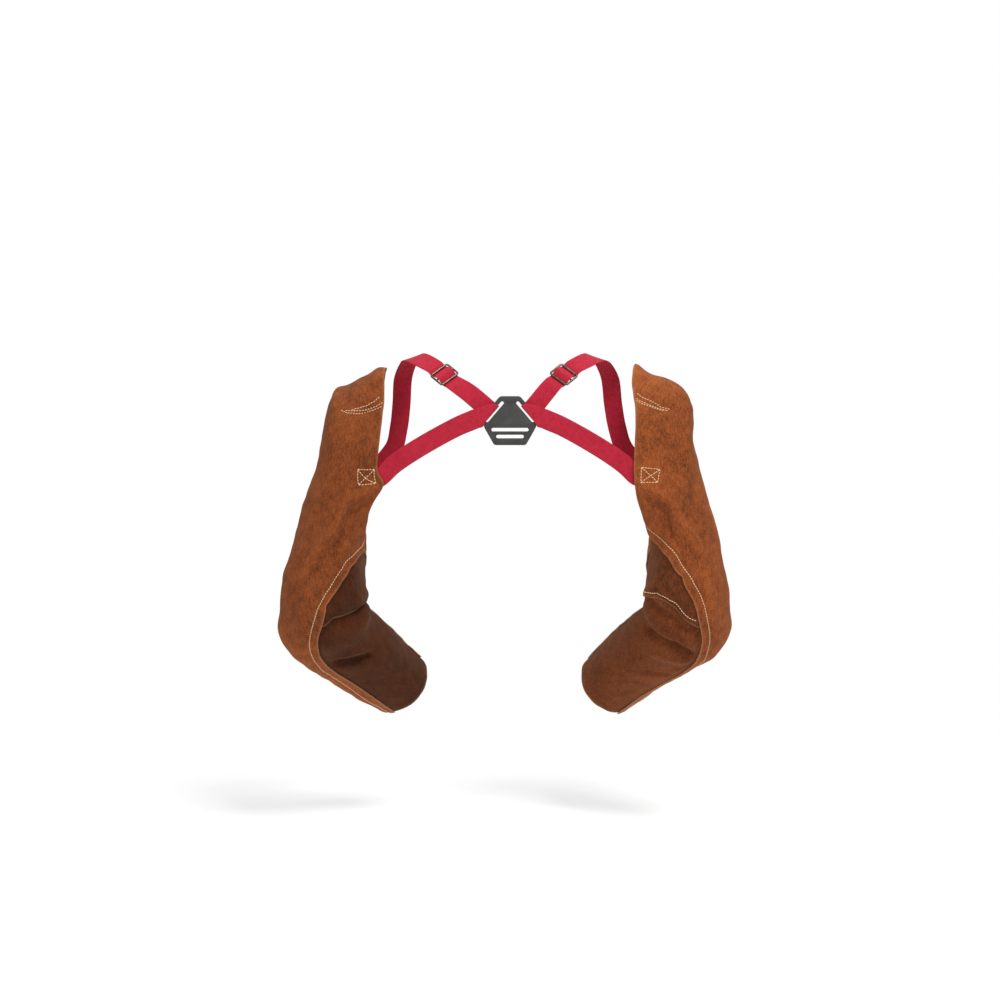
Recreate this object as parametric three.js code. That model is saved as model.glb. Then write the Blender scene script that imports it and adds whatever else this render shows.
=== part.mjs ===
// Leather welding sleeves on a webbing harness, in the shape they take when worn with the arms bent.
// Millimetres, +Z up. Worn, the front is towards +Y, so the harness shows from -Y and +X is the right.
// The origin is on the back face of the harness plate, where the plate lies against the upper back.
import * as THREE from "three";

// Leather, seams and clearances
const LEATHER = 1.6; // thickness of the split leather
const GAP = 0.5; // clearance between two pieces that lie on each other
const SEAM_LAP = 13; // leather of the upper ply past the stitch line
const SEAM_TUCK = 11; // leather of the lower ply under the stitch line
const RIGHT_TWIST = 14; // degrees that the right sleeve's back seam is turned outward
const SWAY = 0.022; // sideways lean of the whole, in mm of X for each mm of height

const FRONT_CUT = 13; // how far the armhole's front edge is cut back
const FRONT_CUT_POWER = 0.7; // how fast the cut deepens from the bottom and the top of the armhole
const FRONT_CUT_REACH = 3; // sections over which the cut fades out

// Webbing
const STRAP_WIDTH = 28;
const STRAP_THICK = 1.6;
const SEWN_LENGTH = 32; // strap end sewn inside the sleeve
const SEWN_BACK = { angle: 107, turn: -6 }; // where the strap's ends pass the armhole's edge, and how
const SEWN_FRONT = { angle: -93, turn: 4 }; // far they turn round it under the leather, in degrees
const SEWN_CLEAR = 2; // room for the flat facets of the leather over the strap end
const SEWN_SECTION = 0.3; // section at which the strap end's inset is measured
const EDGE_INSET = 1; // where the strap passes the armhole's edge
const STRAP_STEPS = 2; // mesh rows from one station of the strap to the next

// Harness plate
const PLATE_THICK = 3.2;
const PLATE_BEVEL = 0.5;
const PLATE_TOP = 35.5;
const PLATE_TOP_HALF = 14.5;
const PLATE_SIDE_HALF = 38;
const PLATE_SIDE_HIGH = 8;
const PLATE_SIDE_LOW = -9;
const PLATE_BOTTOM_HALF = 23;
const STRAP_SLOT = { length: 38, width: 4.6, bar: 6.5, along: -4.6 };
const CROSS_SLOTS = [
  { length: 54, width: 5, z: -13 },
  { length: 40, width: 5, z: -23 },
];
const SLOT_SEGMENTS = 3; // facets of a slot's round end
const WRAP_EASE = 1; // distance from an edge of the plate's bar to the strap's station beside it
const SLOT_SLIP = -3.5; // how far the strap sits towards the lower end of its slot

// Slide buckle
const BUCKLE_BAR = 3; // width and thickness of every bar
const BUCKLE_INSIDE = 29.4; // clear width between the two side bars
const BUCKLE_PITCH = 12.2; // middle bar to outer bar, centre to centre
const BUCKLE_CORNER = 3.4;
const BUCKLE_BEVEL = 0.84;
const CORNER_SEGMENTS = 1; // facets of a rounded corner
const SLIDE_EASE = 0.4; // extra room between the strap and the slide's bars
const BUCKLE_LEAN = 142;
const BUCKLE_TIP = 0.447;
const BUCKLE_RISE = 0.643 / 0.766; // climb of the slide for each mm outward

// Route of the strap on the +X side, in two stretches that start and end at the plate's bar.
// lean is the direction across the strap, seen from behind, in degrees from +X, and tip its share forward;
// span is its length across; shift moves both straps sideways, because the plate sits to the right of
// the straps' middle.
const FULL = { span: STRAP_WIDTH, tip: 0, shift: 0 };
const LOWER_LEG = [
  { ...FULL, x: 170, y: 15, z: -65, lean: 56 },
  { ...FULL, x: 152, y: 8.5, z: -52, lean: 57 },
  { ...FULL, x: 116, y: 2.5, z: -30, lean: 58 },
  { ...FULL, x: 77, y: -1.5, z: -9, lean: 61 },
  { ...FULL, x: 57, y: -3.4, z: -0.4, lean: 77, span: 28.8 },
  { ...FULL, x: 43.5, y: -4.5, z: 4.6, lean: 95.5, span: 31 },
];
const UPPER_LEG = [
  { ...FULL, x: 41, y: 2.6, z: 26, lean: 129, shift: -2 },
  { ...FULL, x: 57, y: 5, z: 42, lean: 132, tip: 0.2, shift: -5.5 },
];
const BUCKLE = { ...FULL, x: 87, y: 14, z: 68, lean: BUCKLE_LEAN, tip: BUCKLE_TIP, shift: -10 };
const SHOULDER = [
  { ...FULL, x: 114, y: 32, z: 87, lean: 144, tip: 0.3, shift: -10 },
  { ...FULL, x: 129, y: 53, z: 95, lean: 151, tip: 0.1, shift: -10 },
  { ...FULL, x: 138, y: 76, z: 97, lean: 162, shift: -10 },
  { ...FULL, x: 147, y: 106, z: 91, lean: 171, shift: -8 },
  { ...FULL, x: 158, y: 136, z: 70, lean: 179, shift: -6 },
  { ...FULL, x: 163, y: 161, z: 32, lean: 187, shift: -4 },
  { ...FULL, x: 169, y: 172, z: -4, lean: 196, shift: -2 },
  { ...FULL, x: 179, y: 174, z: -36, lean: 214 },
];

// Sleeve sections from the armhole to the cuff, for an arm on the +X side.
// outer and inner are the section's far ends, away from the body and next to it.
// depth holds its half depths behind and in front, bow bends its back edge towards the body, and seams
// holds the angles of the back and front stitch lines, from outer round to inner.
const SECTIONS = [
  { outer: [185, 95, 81], inner: [213, 92, -183], depth: [84, 84], bow: 12, seams: [161, 161] },
  { outer: [238, 96, 65], inner: [213, 92, -194], depth: [88, 88], bow: 8, seams: [157, 157] },
  { outer: [266, 97, 40], inner: [213, 92, -204], depth: [89, 89], bow: 3, seams: [150, 153] },
  { outer: [275, 97, -10], inner: [213, 92, -214], depth: [88, 88], bow: 0, seams: [141, 148] },
  { outer: [283, 97, -65], inner: [212, 92, -223], depth: [87, 87], bow: 0, seams: [131, 142] },
  { outer: [300, 97, -120], inner: [211, 92, -230], depth: [85, 84], bow: 0, seams: [121, 135] },
  { outer: [316, 96, -175], inner: [209, 93, -240], depth: [82, 76], bow: 0, seams: [111, 128] },
  { outer: [329, 94, -226], inner: [208, 94, -252], depth: [78, 60], bow: 0, seams: [99, 122] },
  { outer: [334, 99, -269], inner: [209, 95, -266], depth: [73, 47], bow: 0, seams: [86, 118] },
  { outer: [331, 117, -308], inner: [207, 101, -280], depth: [66, 43], bow: 0, seams: [72, 118] },
  { outer: [310, 143, -336], inner: [199, 113, -294], depth: [60, 47], bow: 0, seams: [62, 120] },
  { outer: [277, 180, -365], inner: [175, 148, -319], depth: [57, 55], bow: 0, seams: [60, 122] },
  { outer: [242, 216, -395], inner: [151, 185, -350], depth: [54, 58], bow: 0, seams: [60, 124] },
  { outer: [205, 256, -428], inner: [120, 227, -388], depth: [51, 54], bow: 0, seams: [60, 124] },
];
const ROUNDNESS = 0.9; // 1 is an ellipse, less is boxier

// Folds of the leather. from and to are [section, angle], height is out of the surface, and spread
// is the width to each side.
const BOTH = 0;
const LEFT = -1;
const RIGHT = 1;
const FOLDS = [
  { side: LEFT, from: [0.2, -35], to: [0.2, 35], height: 7, spread: 13 }, // ridge beside the armhole
  { side: RIGHT, from: [0.05, -30], to: [0.05, 32], height: 9, spread: 14 },
  { side: LEFT, from: [1.15, 5], to: [1.2, 44], height: -6, spread: 12 }, // dip before the corner
  { side: LEFT, from: [1.6, 0], to: [1.65, 40], height: 4, spread: 10 }, // corner of the shoulder
  { side: RIGHT, from: [1.5, 5], to: [1.7, 40], height: 1, spread: 16 },
  { side: BOTH, from: [0, 54], to: [0.65, 60], height: -2, spread: 8 }, // shoulder dart
  { side: BOTH, from: [0.65, 60], to: [1.25, 51], height: -2.5, spread: 8 },
  { side: BOTH, from: [8.8, 12], to: [9.5, 32], height: 8, spread: 25 }, // elbow corner
  { side: LEFT, from: [3.5, 30], to: [8.8, 25], height: 4.5, spread: 36 }, // fullness down the outside
  { side: RIGHT, from: [4.6, 35], to: [6, 30], height: 2.5, spread: 30 },
  { side: LEFT, from: [10.3, 40], to: [12, 42], height: 7, spread: 26 }, // fullness under the forearm
  { side: RIGHT, from: [9.7, 55], to: [11.5, 60], height: 3, spread: 24 },
  { side: LEFT, from: [0.5, 114], to: [7.8, 66], height: 4, spread: 14 }, // drag lines from the armpit
  { side: LEFT, from: [2, 137], to: [7.6, 82], height: 3, spread: 9 },
  { side: RIGHT, from: [0.7, 120], to: [7.8, 64], height: 4.5, spread: 15 },
  { side: RIGHT, from: [3.1, -25], to: [3.1, 30], height: -5, spread: 24 }, // dent under the shoulder
];
// Folds of the inner panels only, past the edge of the outer panel.
const INNER_FOLDS = [
  { side: LEFT, from: [8.25, 92], to: [8.2, 165], height: -8, spread: 10 }, // valley under the cross seam
  { side: LEFT, from: [9, 85], to: [9, 180], height: 6, spread: 20 }, // bulge below it
  { side: LEFT, from: [9.95, 72], to: [10.5, 125], height: -8, spread: 9 }, // crease above the forearm
  { side: LEFT, from: [7.3, 120], to: [7.6, 200], height: 5, spread: 16 },
  { side: RIGHT, from: [8.5, 92], to: [7.6, 165], height: -7, spread: 9 }, // valley under the cross seam
  { side: RIGHT, from: [8.85, 88], to: [8.5, 170], height: 5, spread: 13 }, // ridge below it
  { side: RIGHT, from: [9.5, 76], to: [9.25, 100], height: -7, spread: 8 }, // crease in the crook
  { side: RIGHT, from: [9.25, 100], to: [9.4, 150], height: -7, spread: 8 },
  { side: RIGHT, from: [9.75, 68], to: [10.05, 112], height: 5, spread: 9 }, // fold above the forearm
  { side: RIGHT, from: [7.1, 130], to: [7.5, 190], height: 4, spread: 16 },
];
// Pulls on the leather towards the body, beside the armhole: by the strap's end, and at the armpit.
// at and spread are degrees round the armhole.
const PULLS = [
  { side: LEFT, amount: 18, at: 113, spread: 9.5 },
  { side: RIGHT, amount: 16, at: 115, spread: 34 },
  { side: RIGHT, amount: 8.5, at: 34, spread: 24 },
  { side: RIGHT, amount: 6, at: 154, spread: 20 },
  { side: BOTH, amount: 3, at: 148, spread: 20 },
];
const PULL_REACH = 2.5; // sections over which they fade out
const PULL_SECTION = 1; // section whose direction they follow
const FLAP_RELIEF = 18; // distance from the flap's edge over which the inner folds reach their height

// Where the inner panel is joined across, counted in sections from the armhole.
const CROSS_SEAM = 8;
const CROSS_LAP = 0.35;
const CROSS_TUCK = 0.4;
const CROSS_RISE = 0.8; // sections over which the lower panel comes up to the upper one's level
// The cross seam climbs from the flap's edge towards the body, by some sections over some degrees. The
// leather above and below follows it between the sections of start and those of end.
const LEFT_CLIMB = { sections: 0.2, degrees: 20 };
const RIGHT_CLIMB = { sections: 0.9, degrees: 60 };
const CLIMB_START = [4.5, 7.4];
const CLIMB_END = [8.5, 10.8];

// Steps of the mesh: round the outer and inner panels, and along the cap, upper arm and forearm.
const STEPS_OUTER = 20;
const STEPS_INNER = 7;
const STEPS_CAP = 3;
const STEPS_UPPER_ARM = 13;
const STEPS_FOREARM = 11;

// Small steps along the sections and round them that give the surface's slope.
const SLOPE_SECTION = 0.05;
const SLOPE_ANGLE = 0.8;

const LEATHER_FACE = new THREE.MeshStandardMaterial({ color: 0x9a5228, roughness: 0.95, metalness: 0 });
const WEBBING = new THREE.MeshStandardMaterial({ color: 0xb8203a, roughness: 0.8, metalness: 0 });
const PLASTIC = new THREE.MeshStandardMaterial({ color: 0x34373a, roughness: 0.55, metalness: 0 });
const METAL = new THREE.MeshStandardMaterial({ color: 0x4a463f, roughness: 0.35, metalness: 0.9 });

function mesh(name, geometry, material) {
  const made = new THREE.Mesh(geometry, material);
  made.name = name;
  return made;
}

// Value of one named column at a place along the sections, on a smooth curve through the rows that leaves
// both ends straight on.
function column(rows, read, s) {
  const last = rows.length - 1;
  const i = Math.min(Math.max(Math.floor(s), 0), last - 1);
  const f = s - i;
  const b = read(rows[i]);
  const c = read(rows[i + 1]);
  const a = i > 0 ? read(rows[i - 1]) : 2 * b - c;
  const d = i + 2 <= last ? read(rows[i + 2]) : 2 * c - b;
  const slopeB = (c - a) / 2;
  const slopeC = (d - b) / 2;
  const f2 = f * f;
  const f3 = f2 * f;
  const fromB = (2 * f3 - 3 * f2 + 1) * b + (f3 - 2 * f2 + f) * slopeB;
  return fromB + (3 * f2 - 2 * f3) * c + (f3 - f2) * slopeC;
}

function railPoint(rail, s) {
  const axis = (k) => column(SECTIONS, (row) => row[rail][k], s);
  return new THREE.Vector3(axis(0), axis(1), axis(2));
}

function sectionCentre(s) {
  return railPoint("outer", s).add(railPoint("inner", s)).multiplyScalar(0.5);
}

// Share of an effect of the armhole's edge that is left at a place, down to none at its reach.
function edgeShare(s, reach) {
  return 1 - THREE.MathUtils.smoothstep(s, 0, reach);
}

function power(value) {
  return Math.sign(value) * Math.abs(value) ** ROUNDNESS;
}

// A point of the smooth sleeve, before its folds. angle is in degrees from outer, round by the back.
function smoothPoint(s, angle) {
  const outer = railPoint("outer", s);
  const inner = railPoint("inner", s);
  const centre = outer.clone().add(inner).multiplyScalar(0.5);
  const up = outer.clone().sub(inner).multiplyScalar(0.5);
  const along = sectionCentre(s + SLOPE_SECTION).sub(sectionCentre(s - SLOPE_SECTION)).normalize();
  const back = along.clone().cross(up).normalize();
  const cos = Math.cos(THREE.MathUtils.degToRad(angle));
  const sin = Math.sin(THREE.MathUtils.degToRad(angle));
  const depth = column(SECTIONS, (row) => row.depth[sin > 0 ? 0 : 1], s);
  const frontCut = FRONT_CUT * edgeShare(s, FRONT_CUT_REACH);
  const bow = column(SECTIONS, (row) => row.bow, s);
  const edge = sin > 0 ? bow * sin * sin : -frontCut * (-sin) ** FRONT_CUT_POWER;
  return centre
    .addScaledVector(up, power(cos))
    .addScaledVector(back, depth * power(sin))
    .addScaledVector(along, -edge);
}

// Slopes of a surface, per section along it and per degree round it, and its outward normal.
function frameOf(pointAt, s, angle) {
  const along = pointAt(s + SLOPE_SECTION, angle)
    .sub(pointAt(s - SLOPE_SECTION, angle))
    .divideScalar(2 * SLOPE_SECTION);
  const round = pointAt(s, angle + SLOPE_ANGLE)
    .sub(pointAt(s, angle - SLOPE_ANGLE))
    .divideScalar(2 * SLOPE_ANGLE);
  const normal = round.clone().cross(along).normalize();
  return { along, round, normal };
}

const surfaceFrame = (s, angle) => frameOf(smoothPoint, s, angle);

// Height of one fold at a place on the sleeve, from its distance to the fold's line.
function foldHeight(fold, s, angle) {
  const [s0, a0] = fold.from;
  const [s1, a1] = fold.to;
  const middle = (a0 + a1) / 2;
  const turned = angle - 360 * Math.round((angle - middle) / 360);
  const { along, round } = surfaceFrame((s0 + s1) / 2, middle);
  const scale = new THREE.Vector2(along.length(), round.length());
  const line = new THREE.Vector2(s1 - s0, a1 - a0).multiply(scale);
  const here = new THREE.Vector2(s - s0, turned - a0).multiply(scale);
  const share = THREE.MathUtils.clamp(here.dot(line) / line.lengthSq(), 0, 1);
  const distance = here.addScaledVector(line, -share).length() / fold.spread;
  return fold.height * Math.exp(-distance * distance);
}

function foldSum(folds, side, s, angle) {
  return folds
    .filter((fold) => fold.side === BOTH || fold.side === side)
    .reduce((sum, fold) => sum + foldHeight(fold, s, angle), 0);
}

function armholePull(side, s, angle) {
  const pulls = PULLS.filter((pull) => pull.side === BOTH || pull.side === side);
  const at = (pull) => pull.amount * Math.exp(-(((angle - pull.at) / pull.spread) ** 2));
  return edgeShare(s, PULL_REACH) * pulls.reduce((sum, pull) => sum + at(pull), 0);
}

// The smooth sleeve with its armhole's edge pulled towards the straps.
function pulledPoint(side, s, angle) {
  const { along } = surfaceFrame(PULL_SECTION, angle);
  return smoothPoint(s, angle).addScaledVector(along.normalize(), -armholePull(side, s, angle));
}

const sleeveFrame = (side, s, angle) => frameOf((u, turn) => pulledPoint(side, u, turn), s, angle);

// A point of the sleeve, moved out along its normal.
function sleevePoint(side, s, angle, out) {
  const height = out + foldSum(FOLDS, side, s, angle);
  return pulledPoint(side, s, angle).addScaledVector(sleeveFrame(side, s, angle).normal, height);
}

// Degrees round the section that cover a length of leather.
function degreesFor(length, s, angle) {
  return length / surfaceFrame(s, angle).round.length();
}

// Evenly spaced values from one number to another.
function range(from, to, steps) {
  return Array.from({ length: steps + 1 }, (_, i) => from + ((to - from) * i) / steps);
}

// Angles of one lap: under the stitch line, on it and at the flap's edge.
function lapAngles(s, seam) {
  return [seam - degreesFor(SEAM_TUCK, s, seam), seam, seam + degreesFor(SEAM_LAP, s, seam)];
}

// Angles of the mesh lines round one section: the outer panel, the two laps it shares, the inner panel.
function anglesAt(side, s) {
  const twist = side === RIGHT ? RIGHT_TWIST : 0;
  const back = lapAngles(s, column(SECTIONS, (row) => row.seams[0], s) - twist);
  const front = lapAngles(s, column(SECTIONS, (row) => row.seams[1], s)).map((angle) => -angle);
  const outer = range(front[0], back[0], STEPS_OUTER);
  const inner = range(back[2], front[2] + 360, STEPS_INNER);
  return {
    outer: [front[2], front[1], ...outer, back[1], back[2]],
    inner: [back[0], back[1], ...inner, front[1] + 360, front[0] + 360],
  };
}

// Degrees from the nearer edge of the outer panel to a place on the inner ones.
function pastFlap(side, s, angle) {
  const { outer } = anglesAt(side, s);
  return Math.min(angle - outer.at(-1), outer[0] + 360 - angle);
}

// Height of the inner panels' own folds, which start at the edges of the outer panel.
function innerHeight(side, s, angle) {
  const reach = degreesFor(FLAP_RELIEF, s, angle);
  const share = THREE.MathUtils.smoothstep(pastFlap(side, s, angle), 0, reach);
  return share * foldSum(INNER_FOLDS, side, s, angle);
}

// Sections by which the inner panels are drawn up at a place.
function seamClimb(side, s, angle) {
  const { sections, degrees } = side === RIGHT ? RIGHT_CLIMB : LEFT_CLIMB;
  const along = THREE.MathUtils.smoothstep(s, ...CLIMB_START) - THREE.MathUtils.smoothstep(s, ...CLIMB_END);
  return sections * along * THREE.MathUtils.smoothstep(pastFlap(side, s, angle), 0, degrees);
}

// Mirrors an arm's point to its side and gives it the sideways lean.
function place(point, side) {
  return new THREE.Vector3(side * point.x + SWAY * point.z, point.y, point.z);
}

// A closed shell between two grids of points with the same rows and columns.
function shell(topRows, underRows, flip) {
  const rows = topRows.length;
  const columns = topRows[0].length;
  const points = [...topRows.flat(), ...underRows.flat()];
  const top = (r, c) => r * columns + c;
  const under = (r, c) => rows * columns + top(r, c);
  const quads = [];
  for (let r = 0; r < rows - 1; r += 1) {
    for (let c = 0; c < columns - 1; c += 1) {
      quads.push([top(r, c), top(r, c + 1), top(r + 1, c + 1), top(r + 1, c)]);
      quads.push([under(r, c), under(r + 1, c), under(r + 1, c + 1), under(r, c + 1)]);
    }
  }
  for (let r = 0; r < rows - 1; r += 1) {
    quads.push([top(r, 0), top(r + 1, 0), under(r + 1, 0), under(r, 0)]);
    const last = columns - 1;
    quads.push([top(r, last), under(r, last), under(r + 1, last), top(r + 1, last)]);
  }
  for (let c = 0; c < columns - 1; c += 1) {
    quads.push([top(0, c), under(0, c), under(0, c + 1), top(0, c + 1)]);
    const last = rows - 1;
    quads.push([top(last, c), top(last, c + 1), under(last, c + 1), under(last, c)]);
  }
  const corners = flip ? [0, 2, 1, 0, 3, 2] : [0, 1, 2, 0, 2, 3];
  const geometry = new THREE.BufferGeometry().setFromPoints(points);
  geometry.setIndex(quads.flatMap((quad) => corners.map((k) => quad[k])));
  geometry.computeVertexNormals();
  return geometry;
}

// One leather panel over a list of mesh rows along the sleeve, at a height above the outer surface.
function panel(side, rows, which, height) {
  const point = (row, angle, drop) => {
    const s = which === "inner" ? row - seamClimb(side, row, angle) : row;
    return place(sleevePoint(side, s, angle, height(row, s, angle) - drop), side);
  };
  const layer = (drop) =>
    rows.map((row) => anglesAt(side, row)[which].map((angle) => point(row, angle, drop)));
  return shell(layer(0), layer(LEATHER), side < 0);
}

const CROSS_LINES = [CROSS_SEAM - CROSS_TUCK, CROSS_SEAM, CROSS_SEAM + CROSS_LAP];
const ABOVE = [...range(0, 1, STEPS_CAP), ...range(1, CROSS_LINES[0], STEPS_UPPER_ARM).slice(1)];
const BELOW = range(CROSS_LINES[2], SECTIONS.length - 1, STEPS_FOREARM);
const PLY = LEATHER + GAP;

// The lower inner panel starts under the upper one and rises to its level past the cross seam.
function lowerRise(row) {
  return PLY * THREE.MathUtils.smoothstep(row, CROSS_LINES[2], CROSS_LINES[2] + CROSS_RISE);
}

// The three panels of one sleeve: the outer one on top, the upper inner one under it, then the lower one.
function sleeve(side, label) {
  const group = new THREE.Group();
  const outerRows = [...ABOVE, ...CROSS_LINES.slice(1), ...BELOW.slice(1)];
  const upperRows = [...ABOVE, ...CROSS_LINES.slice(1)];
  const lowerRows = [...CROSS_LINES.slice(0, 2), ...BELOW];
  const upper = (row, s, angle) => innerHeight(side, s, angle) - PLY;
  const lower = (row, s, angle) => innerHeight(side, s, angle) - 2 * PLY + lowerRise(row);
  group.add(
    mesh(`${label}_outer_panel`, panel(side, outerRows, "outer", () => 0), LEATHER_FACE),
    mesh(`${label}_inner_upper_panel`, panel(side, upperRows, "inner", upper), LEATHER_FACE),
    mesh(`${label}_inner_lower_panel`, panel(side, lowerRows, "inner", lower), LEATHER_FACE),
  );
  return group;
}

// The plate's slanted side on +X, in X and Z: its direction upward, its outward normal, its distance
// from the plate's middle, the slot's edge next to the bar, and its angle from +X in degrees.
const SIDE_START = new THREE.Vector2(PLATE_SIDE_HALF, PLATE_SIDE_HIGH);
const SIDE_END = new THREE.Vector2(PLATE_TOP_HALF, PLATE_TOP);
const SIDE_UP = SIDE_END.clone().sub(SIDE_START).normalize();
const SIDE_OUT = new THREE.Vector2(SIDE_UP.y, -SIDE_UP.x);
const SIDE_DISTANCE = SIDE_OUT.dot(SIDE_END);
const SLOT_OUTSIDE = SIDE_DISTANCE - STRAP_SLOT.bar;
const SIDE_LEAN = THREE.MathUtils.radToDeg(SIDE_UP.angle());

const acrossAt = (lean, tip) => {
  const turn = THREE.MathUtils.degToRad(lean);
  return new THREE.Vector3(Math.cos(turn), tip, Math.sin(turn)).normalize();
};

const mirror = (vector, side) => new THREE.Vector3(side * vector.x, vector.y, vector.z);

// The strap's direction through the slide, square to the direction across it.
function slideRun() {
  const across = acrossAt(BUCKLE_LEAN, BUCKLE_TIP);
  const forward = -(across.x + across.z * BUCKLE_RISE) / across.y;
  return new THREE.Vector3(1, forward, BUCKLE_RISE).normalize();
}

const SLIDE_RUN = slideRun();

// One station of a strap: its middle, the direction across it and its length across.
function tableStation(row, side) {
  const centre = place(new THREE.Vector3(row.x, row.y, row.z), side);
  centre.x += row.shift;
  return { centre, across: mirror(acrossAt(row.lean, row.tip), side), span: row.span };
}

// The strap end inside the sleeve, under the leather, from its cut end to the armhole's edge.
function sewnStations(side, end) {
  const depth = LEATHER + GAP + SEWN_CLEAR + STRAP_THICK / 2;
  const sectionLength = surfaceFrame(SEWN_SECTION, end.angle).along.length();
  return [SEWN_LENGTH, SEWN_LENGTH / 2, EDGE_INSET].map((inset) => {
    const s = inset / sectionLength;
    const angle = end.angle + (end.turn * inset) / SEWN_LENGTH;
    const { along, round, normal } = sleeveFrame(side, s, angle);
    const run = along.divideScalar(sectionLength).addScaledVector(round, end.turn / SEWN_LENGTH);
    const across = normal.cross(run).normalize();
    const centre = place(sleevePoint(side, s, angle, -depth), side);
    return { centre, across: mirror(across, side), span: STRAP_WIDTH };
  });
}

// The strap's turn round the plate's bar, from the plate's front, through the slot, to its back.
// out is the distance from the plate's middle, slip moves a station down the bar, and lean turns it from
// the strap's direction in front to the bar's.
function wrapStations(side) {
  const reach = STRAP_THICK / 2 + GAP;
  const corner = reach * Math.SQRT1_2;
  const front = -PLATE_THICK;
  const behind = { slip: SLOT_SLIP, span: STRAP_WIDTH, lean: SIDE_LEAN };
  const turn = [
    { out: SLOT_OUTSIDE + WRAP_EASE, y: front - reach, slip: -9.2, span: 36, lean: 115.5 },
    { out: SLOT_OUTSIDE - corner, y: front - corner, slip: -4.1, span: 29, lean: SIDE_LEAN - 2 },
    { ...behind, out: SLOT_OUTSIDE - reach, y: front / 2 },
    { ...behind, out: SLOT_OUTSIDE - corner, y: corner },
    { ...behind, out: SLOT_OUTSIDE + WRAP_EASE, y: reach },
    { ...behind, out: SIDE_DISTANCE - WRAP_EASE, y: reach },
  ];
  return turn.map(({ out, y, slip, span, lean }) => {
    const flat = SIDE_OUT.clone().multiplyScalar(out).addScaledVector(SIDE_UP, STRAP_SLOT.along + slip);
    const centre = new THREE.Vector3(side * flat.x, y, flat.y);
    return { centre, across: mirror(acrossAt(lean, 0), side), span };
  });
}

// The strap's way through the slide: behind both outer bars and over the middle one. along is counted
// in pitches of the bars, lift in bar clearances towards the viewer.
function slideStations(side) {
  const lift = BUCKLE_BAR / 2 + STRAP_THICK / 2 + GAP + SLIDE_EASE;
  const { centre, across, span } = tableStation(BUCKLE, side);
  const run = mirror(SLIDE_RUN, side);
  const towardsViewer = across.clone().cross(run).multiplyScalar(-side);
  const weave = [
    { along: -1.7, lift: -0.4 },
    { along: -1, lift: -1 },
    { along: 0, lift: 1 },
    { along: 1, lift: -1 },
    { along: 1.7, lift: -0.4 },
  ];
  return weave.map((step) => ({
    centre: centre
      .clone()
      .addScaledVector(run, step.along * BUCKLE_PITCH)
      .addScaledVector(towardsViewer, step.lift * lift),
    across,
    span,
  }));
}

// A flat band through its stations, on a smooth curve, as a closed shell.
function band(stations, steps, flip) {
  const curve = new THREE.CatmullRomCurve3(stations.map((station) => station.centre), false, "centripetal");
  const last = stations.length - 1;
  const rows = range(0, last, last * steps);
  const layer = (half) =>
    rows.map((row) => {
      const centre = curve.getPoint(row / last);
      const tangent = curve.getTangent(row / last);
      const across = bandAcross(stations, row);
      const normal = across.clone().cross(tangent).normalize().multiplyScalar(flip ? -1 : 1);
      const span = column(stations, (station) => station.span, row);
      return [-0.5, 0, 0.5].map((share) =>
        centre.clone().addScaledVector(across, share * span).addScaledVector(normal, half),
      );
    });
  return shell(layer(STRAP_THICK / 2), layer(-STRAP_THICK / 2), flip);
}

function bandAcross(stations, row) {
  const axis = (name) => column(stations, (station) => station.across[name], row);
  return new THREE.Vector3(axis("x"), axis("y"), axis("z")).normalize();
}

function strap(side) {
  const stations = [
    ...sewnStations(side, SEWN_BACK),
    ...LOWER_LEG.map((row) => tableStation(row, side)),
    ...wrapStations(side),
    ...UPPER_LEG.map((row) => tableStation(row, side)),
    ...slideStations(side),
    ...SHOULDER.map((row) => tableStation(row, side)),
    ...sewnStations(side, SEWN_FRONT).reverse(),
  ];
  return band(stations, STRAP_STEPS, side < 0);
}

// A slot with round ends, as a hole of a shape.
function slotPath(centre, direction, length, width) {
  const radius = width / 2;
  const reach = direction.clone().multiplyScalar(length / 2 - radius);
  const turn = direction.angle();
  const path = new THREE.Path();
  path.absarc(centre.x + reach.x, centre.y + reach.y, radius, turn - Math.PI / 2, turn + Math.PI / 2);
  path.absarc(centre.x - reach.x, centre.y - reach.y, radius, turn + Math.PI / 2, turn + Math.PI * 1.5);
  path.closePath();
  return path;
}

function backPlate() {
  const half = [
    [PLATE_TOP_HALF, PLATE_TOP],
    [PLATE_SIDE_HALF, PLATE_SIDE_HIGH],
    [PLATE_SIDE_HALF, PLATE_SIDE_LOW],
    [PLATE_BOTTOM_HALF, -PLATE_TOP],
  ].map(([x, z]) => new THREE.Vector2(x, z));
  const outline = [...half, ...half.map((point) => new THREE.Vector2(-point.x, point.y)).reverse()];
  const shape = new THREE.Shape(outline);
  const slotOut = SLOT_OUTSIDE - STRAP_SLOT.width / 2;
  const slotCentre = SIDE_OUT.clone().multiplyScalar(slotOut).addScaledVector(SIDE_UP, STRAP_SLOT.along);
  for (const side of [LEFT, RIGHT]) {
    const centre = new THREE.Vector2(side * slotCentre.x, slotCentre.y);
    const direction = new THREE.Vector2(side * SIDE_UP.x, SIDE_UP.y);
    shape.holes.push(slotPath(centre, direction, STRAP_SLOT.length, STRAP_SLOT.width));
  }
  for (const slot of CROSS_SLOTS) {
    const level = new THREE.Vector2(1, 0);
    shape.holes.push(slotPath(new THREE.Vector2(0, slot.z), level, slot.length, slot.width));
  }
  const geometry = new THREE.ExtrudeGeometry(shape, {
    depth: PLATE_THICK - 2 * PLATE_BEVEL,
    bevelThickness: PLATE_BEVEL,
    bevelSize: PLATE_BEVEL,
    bevelOffset: -PLATE_BEVEL,
    bevelSegments: 1,
    curveSegments: SLOT_SEGMENTS,
  });
  geometry.translate(0, 0, PLATE_BEVEL);
  geometry.rotateX(Math.PI / 2);
  return geometry;
}

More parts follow.
